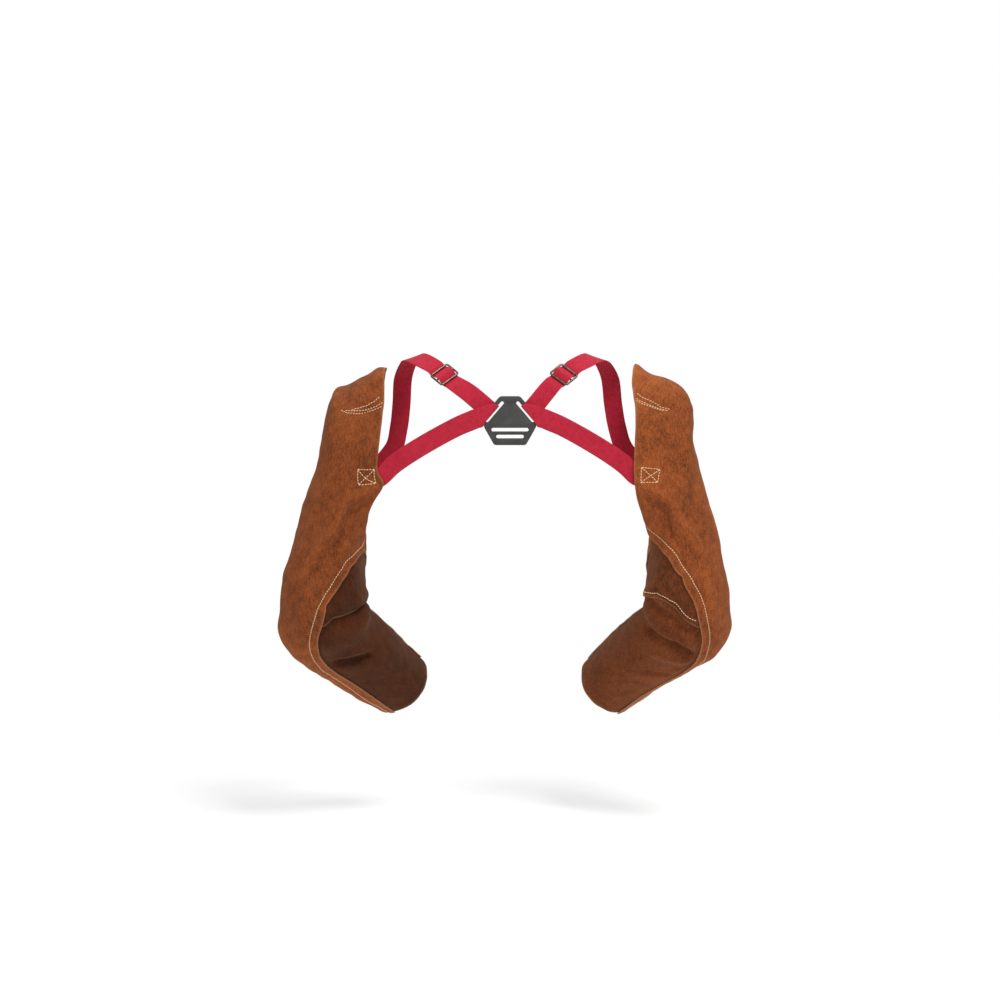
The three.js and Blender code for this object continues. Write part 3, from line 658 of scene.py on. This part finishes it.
def seam_climb(side, row, angle):
    """Sections by which the inner panels are drawn up on the side of the plate."""
    climb = CLIMBS[side]
    window = smoothstep(row, *CLIMB_START) - smoothstep(row, *CLIMB_END)
    return climb.sections * window * smoothstep(past_flap(side, row, angle), 0, climb.degrees)


def moved_point(side, s, angle, out):
    """A place moved out of the pulled surface."""
    normal = sleeve_slopes(side, s, angle)[2]
    return placed(pulled_point(side, s, angle) + normal * out[..., None], side)


def leather_point(side, row, angle, height):
    s = row if height is outer_height else row - seam_climb(side, row, angle)
    return moved_point(side, s, angle, height(side, row, s, angle))


# %% [markdown]
# ## Leather panels
# A panel is cut flat, so it starts as a flat grid. Its points are then rolled into a sleeve, and
# Solidify gives the leather its thickness. The rim gets the pale finish of a raw cut, and the inside
# gets the flesh side.

# %% Rows of a panel
GRID_STEP = 3.0
RUN_SAMPLES, RUN_ANGLE = 400, 60.0


def lengths_along(points, axis):
    """Length from the start of each line of points to every point on it."""
    steps = length_of(np.diff(points, axis=axis))
    return np.insert(np.cumsum(steps, axis=axis), 0, 0, axis=axis)


def even_rows(s_from, s_to):
    """Section numbers a grid step of leather apart, measured between the outer side and the back."""
    fine = np.linspace(s_from, s_to, RUN_SAMPLES)
    run = lengths_along(smooth_point(fine, np.full_like(fine, RUN_ANGLE)), 0)
    count = max(int(run[-1] / GRID_STEP), 2)
    return np.interp(np.linspace(0, run[-1], count + 1), run, fine)


# %% Nap map
AXIS_POINTS = np.array([
    (222, 95, 150), (240, 95, 60), (255, 95, -60), (268, 96, -180),
    (272, 102, -262), (258, 128, -318), (215, 175, -360), (150, 250, -420),
], float)
AXIS_STEPS = 16
SLEEVE_RADIUS = 85.0


def nap_map(points, inner):
    """Distance round the sleeve and along its bent axis, which the nap follows."""
    place = np.linspace(0, len(AXIS_POINTS) - 1, AXIS_STEPS * len(AXIS_POINTS))
    axis = through_rows(AXIS_POINTS, place)
    tangent = unit(np.gradient(axis, axis=0))
    run = lengths_along(axis, 0)
    flat = points.reshape(-1, 3)
    nearest = np.argmin((axis**2).sum(-1) - 2 * flat @ axis.T, axis=1)
    off, ahead = flat - axis[nearest], tangent[nearest]
    sideways = unit(np.array([1.0, 0, 0]) - ahead[:, :1] * ahead)
    turn = np.arctan2((off * np.cross(ahead, sideways)).sum(-1), (off * sideways).sum(-1))
    if inner:
        turn = np.mod(turn, 2 * np.pi)
    along = run[nearest] + (off * ahead).sum(-1)
    return np.stack([turn * SLEEVE_RADIUS, along], -1).reshape(*points.shape[:2], 2)


# %% Mesh helpers


def grid_piece(name, points, cut):
    rows, columns = points.shape[:2]
    bpy.ops.object.select_all(action="DESELECT")
    bpy.ops.mesh.primitive_grid_add(x_subdivisions=columns - 1, y_subdivisions=rows - 1, size=1)
    piece = bpy.context.object
    piece.name = name
    piece.data.vertices.foreach_set("co", (points * MM).ravel())
    corners = np.empty(len(piece.data.loops), int)
    piece.data.loops.foreach_get("vertex_index", corners)
    flat_map = piece.data.uv_layers[0]
    flat_map.name = "cut"
    flat_map.data.foreach_set("uv", (cut.reshape(-1, 2)[corners] * MM).ravel())
    piece.data.update()
    return piece


def paint(piece, name, values):
    piece.data.attributes.new(name, "FLOAT", "POINT").data.foreach_set("value", values.ravel())


# %% Panel maker
GIRTH_POINTS = 60
EDGE_WIDTH = 2.2
FULL_RELIEF, FULL_FINE_RELIEF, FULL_INNER_RELIEF = 8, 2.5, 6
LEATHER_CREASE = math.radians(50)


def fan(low, high, count):
    """Angles from one cut edge to the other, for every row."""
    return low[:, None] + (high - low)[:, None] * np.linspace(0, 1, count)


def leather_panel(name, side, rows, edges, height, face):
    outer = height is outer_height
    low, high = edges(side, rows)
    coarse = fan(low, high, GIRTH_POINTS)
    hoops = smooth_point(np.broadcast_to(rows[:, None], coarse.shape), coarse)
    girth = lengths_along(hoops, 1)[:, -1].max()
    angle = fan(low, high, int(girth / GRID_STEP) + 1)
    s = np.broadcast_to(rows[:, None], angle.shape)
    if side == LEFT:
        angle = angle[:, ::-1]
    points = leather_point(side, s, angle, height)
    across, along = lengths_along(points, 1), lengths_along(points, 0)
    inset = np.minimum.reduce([across, across[:, -1:] - across, along, along[-1:] - along])
    piece = grid_piece(name, points, nap_map(mirrored(points, side), not outer))
    paint(piece, "edge", np.exp(-((inset / EDGE_WIDTH) ** 2)))
    # Fold height for the suede: crests rubbed lighter, painted shade in the valleys.
    relief = fold_sum(FOLDS, side, s, angle) / FULL_RELIEF
    relief = relief + fold_sum(FINE_FOLDS, side, s, angle) / FULL_FINE_RELIEF
    if not outer:
        relief = relief + inner_fold_height(side, s, angle) / FULL_INNER_RELIEF
    paint(piece, "relief", np.clip(relief, -1, 1))
    for finish in (face, raw_edge, flesh_side):
        piece.data.materials.append(finish)
    wall = piece.modifiers.new("leather", "SOLIDIFY")
    wall.thickness = LEATHER * MM
    wall.offset = -1
    wall.material_offset_rim = 1
    wall.material_offset = 2
    bpy.ops.object.modifier_apply(modifier=wall.name)
    bpy.ops.object.shade_smooth_by_angle(angle=LEATHER_CREASE)
    area = sum(face.area for face in piece.data.polygons) / 2
    print(name, len(piece.data.polygons), "faces, one side", round(area, 4), "m2")
    return piece


# %% Cut the six panels


def inner_edges(side, s):
    front, back = panel_edges(side, s, -SEAM_TUCK)
    return back, front + 360


SIDES = [(LEFT, "left"), (RIGHT, "right")]
KINDS = [
    ("outer_panel", even_rows(0, LAST), outer_edges, outer_height),
    ("inner_upper_panel", even_rows(0, CROSS_SEAM + CROSS_LAP), inner_edges, upper_height),
    ("inner_lower_panel", even_rows(CROSS_SEAM - CROSS_TUCK, LAST), inner_edges, lower_height),
]
panels = {}
for side, label in SIDES:
    for kind, rows, edges, height in KINDS:
        node = f"{label}_{kind}"
        # Inner panels take the darker suede, whose darkness is painted shade.
        face = suedes[label if height is outer_height else f"{label}_inner"]
        panels[node] = leather_panel(f"{node}_leather", side, rows, edges, height, face)

# %% [markdown]
# ## Stitches
# Thick cream thread holds the leather. One stitch is modelled as a flattened bead, and copies of it are
# set along each line, a little skewed, as a lockstitch lies. The lines are the two long seams, the seam
# across the right inner panels, the dart on each shoulder and the crossed boxes over the strap ends.

# %% One stitch
STITCH_LENGTH, STITCH_WIDTH, STITCH_HEIGHT = 3.6, 1.35, 1.2
BEAD_SEGMENTS, BEAD_RINGS = 8, 6
bpy.ops.object.select_all(action="DESELECT")
bpy.ops.mesh.primitive_uv_sphere_add(segments=BEAD_SEGMENTS, ring_count=BEAD_RINGS, radius=0.5)
bead = bpy.context.object
bead_points = np.array([vertex.co for vertex in bead.data.vertices])[:, [2, 0, 1]]
bead_points = bead_points * [STITCH_LENGTH, STITCH_WIDTH, STITCH_HEIGHT]
bead_faces = [list(face.vertices) for face in bead.data.polygons]
bpy.ops.object.delete()
print("stitch of", len(bead_faces), "faces")

# %% Stitch lines
STITCH_PITCH, STITCH_LIFT = 4.2, 0.1
STITCH_SKEW = math.radians(9)
LINE_DETAIL = 60
SEAM_POINTS, SEAM_END = 120, 0.05
CROSS_POINTS, CROSS_MARGIN, CROSS_SHOW = 40, 13.0, 1.0
CROSS_HIGHEST = CROSS_SEAM - CROSS_TUCK / 4


def stitches_on(side, s, angle, height):
    """Transformed copies of the stitch along a line of places on the leather."""
    fine = np.linspace(0, len(s) - 1, LINE_DETAIL * len(s))
    s, angle = (np.interp(fine, np.arange(len(s)), values) for values in (s, angle))
    path = leather_point(side, s, angle, height)
    run = lengths_along(path, 0)
    count = max(round(run[-1] / STITCH_PITCH), 1)
    at = (np.arange(count) + 0.5) * run[-1] / count
    centre, ahead, behind = (
        np.stack([np.interp(at + step, run, path[:, k]) for k in range(3)], -1) for step in (0, 1, -1)
    )
    direction = unit(ahead - behind)
    places = (np.interp(at, run, values) for values in (s, angle))
    normal = mirrored(sleeve_slopes(side, *places)[2], side)
    across = unit(np.cross(normal, direction))
    skewed = direction * math.cos(STITCH_SKEW) + across * math.sin(STITCH_SKEW)
    across = unit(np.cross(normal, skewed))
    axes = np.stack([skewed, across, np.cross(skewed, across)], 1)
    return centre[:, None] + bead_points @ axes + STITCH_LIFT * normal[:, None]


def stitch_piece(name, groups):
    copies = np.concatenate(groups)
    count, size = copies.shape[:2]
    faces = [[k + n * size for k in face] for n in range(count) for face in bead_faces]
    mesh = bpy.data.meshes.new(name)
    mesh.from_pydata((copies.reshape(-1, 3) * MM).tolist(), [], faces)
    piece = bpy.data.objects.new(name, mesh)
    bpy.context.scene.collection.objects.link(piece)
    mesh.materials.append(thread)
    mesh.shade_smooth()
    print(name, count, "stitches")
    return piece


def seam_stitches(side):
    """The two long seams, on the outer panel."""
    run = np.linspace(SEAM_END, LAST - SEAM_END, SEAM_POINTS)
    return [stitches_on(side, run, line, outer_height) for line in seam_angles(side, run)]


def cross_stitches(side):
    """The seam across the inner panels, a margin above the upper one's cut edge where there is room."""
    low, high = (edge[0] for edge in panel_edges(side, np.array([CROSS_SEAM]), SEAM_LAP + CROSS_SHOW))
    round_inner = np.linspace(high, low + 360, CROSS_POINTS)
    section_size = length_of(slopes(np.full_like(round_inner, CROSS_SEAM), round_inner)[0])
    row = np.maximum(CROSS_SEAM + CROSS_LAP - CROSS_MARGIN / section_size, CROSS_HIGHEST)
    return [stitches_on(side, row, round_inner, upper_height)]


def line_stitches(side, lines):
    return [stitches_on(side, *np.array(line).T, outer_height) for line in lines]


# %% Sew both sleeves
stitching = []
for side, label in SIDES:
    groups = {
        "seam": seam_stitches(side) + (cross_stitches(side) if side == RIGHT else []),
        "dart": line_stitches(side, DARTS[side]),
        "box": line_stitches(side, box_lines(side)),
    }
    for kind, group in groups.items():
        stitching.append(stitch_piece(f"{label}_{kind}_stitches", group))

# %% [markdown]
# ## Webbing
# The straps are flat elastic webbing, woven in fine lengthwise cords. Each one is sewn inside the back
# of the armhole, turns round the plate's bar, passes the slide and ends inside the front of the armhole.
# A grid rolled into a flat oval follows that route, and ribs in the finish follow its flat map.

# %% Webbing finish
RIB_PITCH, WEFT_PITCH = 0.0013, 0.0009
webbing, tree = new_finish("webbing")
cut = tree.node("UVMap", {}, uv_map="cut")
across = tree.node("SeparateXYZ", {0: cut}, "X")
along = tree.node("SeparateXYZ", {0: cut}, "Y")
place = tree.place()
ribs = tree.math("SINE", across * (2 * math.pi / RIB_PITCH))
weft = tree.math("SINE", along * (2 * math.pi / WEFT_PITCH))
lint = tree.noise(place, 160.0, 3.0, 0.6)
tone = 0.5 * lint + 0.12 * ribs + 0.08 * weft + 0.25
colour = tree.ramp(
    tone, (0.25, (0.33, 0.007, 0.022)), (0.5, (0.53, 0.0145, 0.041)), (0.8, (0.62, 0.032, 0.064))
)
height = ribs * 0.5 + weft * 0.35 + lint
bump = tree.bump(height, 0.5, 0.0004)
tree.dress({
    "Base Color": colour,
    "Roughness": 0.7 + 0.2 * lint,
    "Normal": bump,
    "Specular IOR Level": 0.25,
    "Sheen Weight": 0.08,
    "Sheen Roughness": 0.4,
    "Sheen Tint": (1.0, 0.45, 0.5, 1),
})
print("webbing")

# %% Strap route
STRAP_WIDTH, STRAP_THICK = 28, 1.6
SEWN_LENGTH, SEWN_CLEAR, SEWN_SECTION, EDGE_INSET = 32, 2, 0.3, 1
SewnEnd = namedtuple("SewnEnd", "angle turn")
SEWN_BACK, SEWN_FRONT = SewnEnd(107.0, -6), SewnEnd(-93.0, 4)
PLATE_THICK = 3.2
PLATE_TOP, PLATE_TOP_HALF, PLATE_BOTTOM_HALF = 35.5, 14.5, 23
PLATE_SIDE_HALF, PLATE_SIDE_HIGH, PLATE_SIDE_LOW = 38, 8, -9
SLOT_LENGTH, SLOT_WIDTH, SLOT_BAR, SLOT_ALONG, SLOT_SLIP = 38, 4.6, 6.5, -4.6, -3.5
WRAP_EASE = 1
BUCKLE_BAR, BUCKLE_INSIDE, BUCKLE_PITCH, BUCKLE_CORNER, SLIDE_EASE = 3, 29.4, 12.2, 3.4, 0.4
BUCKLE_RISE = 0.643 / 0.766
Row = namedtuple("Row", "x y z lean tip span shift", defaults=(0, STRAP_WIDTH, 0))
LOWER_LEG = [
    Row(170, 15, -65, 56),
    Row(152, 8.5, -52, 57),
    Row(116, 2.5, -30, 58),
    Row(77, -1.5, -9, 61),
    Row(57, -3.4, -0.4, 77, span=28.8),
    Row(43.5, -4.5, 4.6, 95.5, span=31),
]
UPPER_LEG = [Row(41, 2.6, 26, 129, shift=-2), Row(57, 5, 42, 132, tip=0.2, shift=-5.5)]
BUCKLE = Row(87, 14, 68, 142, tip=0.447, shift=-10)
SHOULDER = [
    Row(114, 32, 87, 144, tip=0.3, shift=-10),
    Row(129, 53, 95, 151, tip=0.1, shift=-10),
    Row(138, 76, 97, 162, shift=-10),
    Row(147, 106, 91, 171, shift=-8),
    Row(158, 136, 70, 179, shift=-6),
    Row(163, 161, 32, 187, shift=-4),
    Row(169, 172, -4, 196, shift=-2),
    Row(179, 174, -36, 214),
]
Station = namedtuple("Station", "centre across span")
SIDE_UP = unit(np.array([PLATE_TOP_HALF - PLATE_SIDE_HALF, PLATE_TOP - PLATE_SIDE_HIGH], float))
SIDE_OUT = np.array([SIDE_UP[1], -SIDE_UP[0]])
SIDE_DISTANCE = SIDE_OUT @ [PLATE_TOP_HALF, PLATE_TOP]
SLOT_OUTSIDE = SIDE_DISTANCE - SLOT_BAR
print(len(LOWER_LEG), len(UPPER_LEG), len(SHOULDER), "rows of the strap's three legs")

# %% Strap stations


def across_at(lean, tip, side):
    turn = math.radians(lean)
    return unit(np.array([side * math.cos(turn), tip, math.sin(turn)]))


def table_station(row, side):
    centre = placed(np.array([row.x, row.y, row.z], float), side) + [row.shift, 0, 0]
    return Station(centre, across_at(row.lean, row.tip, side), row.span)


def sewn_stations(side, end):
    depth = LEATHER + GAP + SEWN_CLEAR + STRAP_THICK / 2
    size = length_of(slopes(np.array(SEWN_SECTION), np.array(end.angle))[0])
    made = []
    for inset in (SEWN_LENGTH, SEWN_LENGTH / 2, EDGE_INSET):
        s, angle = np.array(inset / size), np.array(end.angle + end.turn * inset / SEWN_LENGTH)
        along, round_it, normal = sleeve_slopes(side, s, angle)
        run = along / size + round_it * end.turn / SEWN_LENGTH
        centre = moved_point(side, s, angle, fold_sum(FOLDS, side, s, angle) - depth)
        made.append(Station(centre, mirrored(unit(np.cross(normal, run)), side), STRAP_WIDTH))
    return made


SIDE_LEAN = math.degrees(math.atan2(SIDE_UP[1], SIDE_UP[0]))
Wrap = namedtuple("Wrap", "out y slip span lean", defaults=(SLOT_SLIP, STRAP_WIDTH, SIDE_LEAN))


def wrap_stations(side):
    """The turn round the plate's bar: over its front, through the slot, and out behind it."""
    reach = STRAP_THICK / 2 + GAP
    corner = reach * math.sqrt(0.5)
    turn = [
        Wrap(SLOT_OUTSIDE + WRAP_EASE, -PLATE_THICK - reach, -9.2, 36, 115.5),
        Wrap(SLOT_OUTSIDE - corner, -PLATE_THICK - corner, -4.1, 29, SIDE_LEAN - 2),
        Wrap(SLOT_OUTSIDE - reach, -PLATE_THICK / 2),
        Wrap(SLOT_OUTSIDE - corner, corner),
        Wrap(SLOT_OUTSIDE + WRAP_EASE, reach),
        Wrap(SIDE_DISTANCE - WRAP_EASE, reach),
    ]
    made = []
    for step in turn:
        flat = SIDE_OUT * step.out + SIDE_UP * (SLOT_ALONG + step.slip)
        centre = np.array([side * flat[0], step.y, flat[1]])
        made.append(Station(centre, across_at(step.lean, 0, side), step.span))
    return made


def slide_frame(side):
    """Centre of the slide, and its directions across, along the strap and towards the camera."""
    centre, across, _ = table_station(BUCKLE, side)
    forward = -(side * across[0] + across[2] * BUCKLE_RISE) / across[1]
    run = mirrored(unit(np.array([1, forward, BUCKLE_RISE])), side)
    return centre, across, run, np.cross(across, run) * -side


WEAVE = [(-1.7, -0.4), (-1, -1), (0, 1), (1, -1), (1.7, -0.4)]


def slide_stations(side):
    lift = BUCKLE_BAR / 2 + STRAP_THICK / 2 + GAP + SLIDE_EASE
    centre, across, run, facing = slide_frame(side)
    return [
        Station(centre + run * along * BUCKLE_PITCH + facing * up * lift, across, STRAP_WIDTH)
        for along, up in WEAVE
    ]


# %% Strap maker
STRAP_STEPS = 14
STRAP_COLUMNS = 13
EDGE_POINTS = 5
WEBBING_CREASE = math.radians(60)
MERGE = 1e-6


def smooth_path(points):
    """A centripetal curve through the points, with the same number of steps between any two."""
    first, last = 2 * points[0] - points[1], 2 * points[-1] - points[-2]
    known = np.concatenate([[first], points, [last]])
    made = []
    for a, b, c, d in zip(known, known[1:], known[2:], known[3:]):
        t0, t1, t2 = (math.sqrt(length_of(q - p)) for p, q in ((a, b), (b, c), (c, d)))
        start = ((b - a) / t0 - (c - a) / (t0 + t1) + (c - b) / t1) * t1
        end = ((c - b) / t1 - (d - b) / (t1 + t2) + (d - c) / t2) * t1
        f = np.linspace(0, 1, STRAP_STEPS, endpoint=False)[:, None]
        made.append(hermite(f, b, c, start, end))
    return np.concatenate([*made, [points[-1]]])


def strap_section():
    """The webbing's flat oval section: a share of the width across, and offsets across and up, in mm."""
    radius = STRAP_THICK / 2
    flat = np.linspace(-1, 1, STRAP_COLUMNS)
    turn = np.linspace(90, -90, EDGE_POINTS + 2)[1:-1]
    cos, sin = np.cos(np.radians(turn)) * radius, np.sin(np.radians(turn)) * radius
    one, zero = np.ones(EDGE_POINTS), np.zeros(STRAP_COLUMNS)
    share = np.concatenate([flat, one, flat[::-1], -one])
    out = np.concatenate([zero, cos, zero, -cos])
    up = np.concatenate([zero + radius, sin, zero - radius, -sin])
    return [np.append(values, values[0])[None, :, None] for values in (share, out, up)]


def clean_mesh(fill_ends):
    """Merge the active mesh's doubled points, close its open ends if asked, and turn its faces out."""
    bpy.ops.object.mode_set(mode="EDIT")
    bpy.ops.mesh.select_all(action="SELECT")
    bpy.ops.mesh.remove_doubles(threshold=MERGE)
    if fill_ends:
        bpy.ops.mesh.select_all(action="DESELECT")
        bpy.ops.mesh.select_mode(type="EDGE")
        bpy.ops.mesh.select_non_manifold()
        bpy.ops.mesh.edge_face_add()
        bpy.ops.mesh.select_all(action="SELECT")
    bpy.ops.mesh.normals_make_consistent(inside=False)
    bpy.ops.object.mode_set(mode="OBJECT")


def strap_piece(name, side):
    stations = [
        *sewn_stations(side, SEWN_BACK),
        *(table_station(row, side) for row in LOWER_LEG),
        *wrap_stations(side),
        *(table_station(row, side) for row in UPPER_LEG),
        *slide_stations(side),
        *(table_station(row, side) for row in SHOULDER),
        *reversed(sewn_stations(side, SEWN_FRONT)),
    ]
    path = smooth_path(np.array([station.centre for station in stations]))
    place = np.linspace(0, len(stations) - 1, len(path))
    across = unit(through_rows(np.array([station.across for station in stations]), place))
    span = through_rows(np.array([[station.span] for station in stations], float), place)[:, 0]
    tangent = unit(np.gradient(path, axis=0))
    normal = unit(np.cross(across, tangent)) * side
    share, out, up = strap_section()
    width = share * (span[:, None, None] - STRAP_THICK) / 2 + out
    points = path[:, None] + across[:, None] * width + normal[:, None] * up
    if side == LEFT:
        points = points[:, ::-1]
        width = width[:, ::-1]
    run = lengths_along(path, 0)
    cut = np.stack([width[..., 0], np.broadcast_to(run[:, None], width.shape[:2])], -1)
    piece = grid_piece(name, points, cut)
    clean_mesh(fill_ends=True)
    bpy.ops.object.shade_smooth_by_angle(angle=WEBBING_CREASE)
    piece.data.materials.append(webbing)
    print(name, round(run[-1]), "mm of webbing")
    return piece


straps = {f"{label}_strap": strap_piece(f"{label}_strap_webbing", side) for side, label in SIDES}

# %% [markdown]
# ## Plate
# The plate is moulded in one piece with soft edges. A flat curve with its slots as inner outlines takes
# an extrusion and a round bevel, which is quicker than cutting the slots, and is then made a mesh.

# %% Plate finish
moulded, tree = new_finish("moulded_plastic")
place = tree.place()
pebble = tree.noise(place, 1500.0, 2.0, 0.5)
cloud = tree.noise(place, 60.0, 3.0, 0.5)
colour = tree.ramp(cloud, (0.35, (0.034, 0.036, 0.033)), (0.65, (0.05, 0.053, 0.048)))
bump = tree.bump(pebble, 0.25, 0.0003)
tree.dress({"Base Color": colour, "Roughness": 0.45 + 0.2 * cloud, "Normal": bump})
print("plate finish")

# %% Outlines and curves
CORNER_STEPS, SLOT_STEPS = 5, 9


def rounded_outline(corners, radius):
    """The outline of a polygon, with each corner rounded by a short smooth curve."""
    corners = np.array(corners, float)
    before, after = np.roll(corners, 1, axis=0), np.roll(corners, -1, axis=0)
    f = np.linspace(0, 1, CORNER_STEPS)[:, None]
    made = []
    for a, b, c in zip(before, corners, after):
        start, end = b + unit(a - b) * radius, b + unit(c - b) * radius
        made.append((1 - f) ** 2 * start + 2 * f * (1 - f) * b + f**2 * end)
    return np.concatenate(made)


def slot_outline(centre, direction, length, width):
    """A slot with round ends."""
    direction = np.array(direction, float)
    side = np.array([-direction[1], direction[0]])
    turn = np.radians(np.linspace(-90, 90, SLOT_STEPS))[:, None]
    end = np.cos(turn) * direction * width / 2 + np.sin(turn) * side * width / 2
    reach = direction * (length - width) / 2
    return np.concatenate([centre + reach + end, centre - reach - end])


def add_spline(curve, points, closed):
    spline = curve.splines.new("POLY")
    spline.points.add(len(points) - 1)
    for point, place in zip(spline.points, points * MM):
        point.co = (*place, 1)
    spline.use_cyclic_u = closed


def add_outline(curve, outline):
    """A closed line of the curve at z = 0."""
    add_spline(curve, np.insert(outline, 2, 0, axis=1), True)


def curve_to_mesh(name, curve):
    piece = bpy.data.objects.new(name, curve)
    bpy.context.scene.collection.objects.link(piece)
    bpy.ops.object.select_all(action="DESELECT")
    piece.select_set(True)
    bpy.context.view_layer.objects.active = piece
    bpy.ops.object.convert(target="MESH")
    clean_mesh(fill_ends=False)
    return bpy.context.object


# %% Plate
PLATE_CORNER, PLATE_BEVEL, PLATE_BEVEL_STEPS = 3.0, 0.55, 2
PLATE_CREASE = math.radians(35)
CROSS_SLOTS = [(54, 5, -13), (40, 5, -23)]
half = [
    (PLATE_TOP_HALF, PLATE_TOP),
    (PLATE_SIDE_HALF, PLATE_SIDE_HIGH),
    (PLATE_SIDE_HALF, PLATE_SIDE_LOW),
    (PLATE_BOTTOM_HALF, -PLATE_TOP),
]
plate_curve = bpy.data.curves.new("plate_outline", "CURVE")
plate_curve.dimensions = "2D"
plate_curve.fill_mode = "BOTH"
add_outline(plate_curve, rounded_outline([*half, *((-x, z) for x, z in reversed(half))], PLATE_CORNER))
slot_centre = SIDE_OUT * (SLOT_OUTSIDE - SLOT_WIDTH / 2) + SIDE_UP * SLOT_ALONG
for side, _ in SIDES:
    flip = np.array([side, 1])
    add_outline(plate_curve, slot_outline(slot_centre * flip, SIDE_UP * flip, SLOT_LENGTH, SLOT_WIDTH))
for length, width, z in CROSS_SLOTS:
    add_outline(plate_curve, slot_outline(np.array([0, z]), (1, 0), length, width))
plate_curve.extrude = (PLATE_THICK / 2 - PLATE_BEVEL) * MM
plate_curve.bevel_depth = PLATE_BEVEL * MM
plate_curve.bevel_resolution = PLATE_BEVEL_STEPS
plate_curve.offset = -PLATE_BEVEL * MM
plate = curve_to_mesh("back_plate_moulding", plate_curve)
upright = Matrix.Rotation(math.radians(90), 4, "X")
plate.data.transform(Matrix.Translation((0, -PLATE_THICK / 2 * MM, 0)) @ upright)
bpy.ops.object.shade_smooth_by_angle(angle=PLATE_CREASE)
plate.data.materials.append(moulded)
print("plate", len(plate.data.polygons), "faces")

# %% [markdown]
# ## Slides
# Each slide is bent from dark plated wire: a rounded frame with a bar across its middle. A curve along
# the wire with a round bevel gives it.

# %% Slide finish
wire_metal, tree = new_finish("dark_wire")
place = tree.place()
tarnish = tree.noise(place, 240.0, 4.0, 0.6)
colour = tree.ramp(tarnish, (0.35, (0.09, 0.07, 0.055)), (0.65, (0.24, 0.2, 0.155)))
tree.dress({"Base Color": colour, "Roughness": 0.22 + 0.25 * tarnish, "Metallic": 1.0})
print("slide finish")

# %% Slides
WIRE_BEVEL_STEPS = 3
WIRE_CREASE = math.radians(50)


def slide_piece(name, side):
    centre, across, run, _ = slide_frame(side)
    wide, long = BUCKLE_INSIDE / 2 + BUCKLE_BAR / 2, BUCKLE_PITCH
    corners = [(-wide, -long), (wide, -long), (wide, long), (-wide, long)]
    ring = rounded_outline(corners, BUCKLE_CORNER)
    bar = np.array([(-wide, 0), (wide, 0)])
    curve = bpy.data.curves.new(name, "CURVE")
    curve.dimensions = "3D"
    curve.bevel_depth = BUCKLE_BAR / 2 * MM
    curve.bevel_resolution = WIRE_BEVEL_STEPS
    curve.use_fill_caps = True
    for flat, closed in ((ring, True), (bar, False)):
        add_spline(curve, centre + flat[:, :1] * across + flat[:, 1:] * run, closed)
    piece = curve_to_mesh(name, curve)
    bpy.ops.object.shade_smooth_by_angle(angle=WIRE_CREASE)
    piece.data.materials.append(wire_metal)
    print(name, len(piece.data.polygons), "faces")
    return piece


slides = {f"{label}_slide_buckle": slide_piece(f"{label}_slide_wire", side) for side, label in SIDES}

# %% [markdown]
# ## Hand the pieces to the frame
# Every piece rides on the part's one body, and each solid that a piece stands for is hidden. The
# leather panels are sheets, and a table gives their cut sizes.

# %% Ride and replace
Cut = namedtuple("Cut", "width length area")
CUTS = {
    "outer_panel": Cut(0.52, 0.6, 0.162),
    "inner_upper_panel": Cut(0.14, 0.26, 0.0185),
    "inner_lower_panel": Cut(0.24, 0.3, 0.05),
}
for node, piece in panels.items():
    label, kind = node.split("_", 1)
    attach(piece, "root")
    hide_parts(node)
    cut = CUTS[kind]
    sewn_to = straps[f"{label}_strap"] if kind == "outer_panel" else panels[f"{label}_outer_panel"]
for piece in stitching:
    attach(piece, "root")
fittings = [(straps, "webbing"), (slides, "buckle_metal"), ({"back_plate": plate}, "plate_plastic")]
for made, slot in fittings:
    for node, piece in made.items():
        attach(piece, "root")
        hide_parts(node)
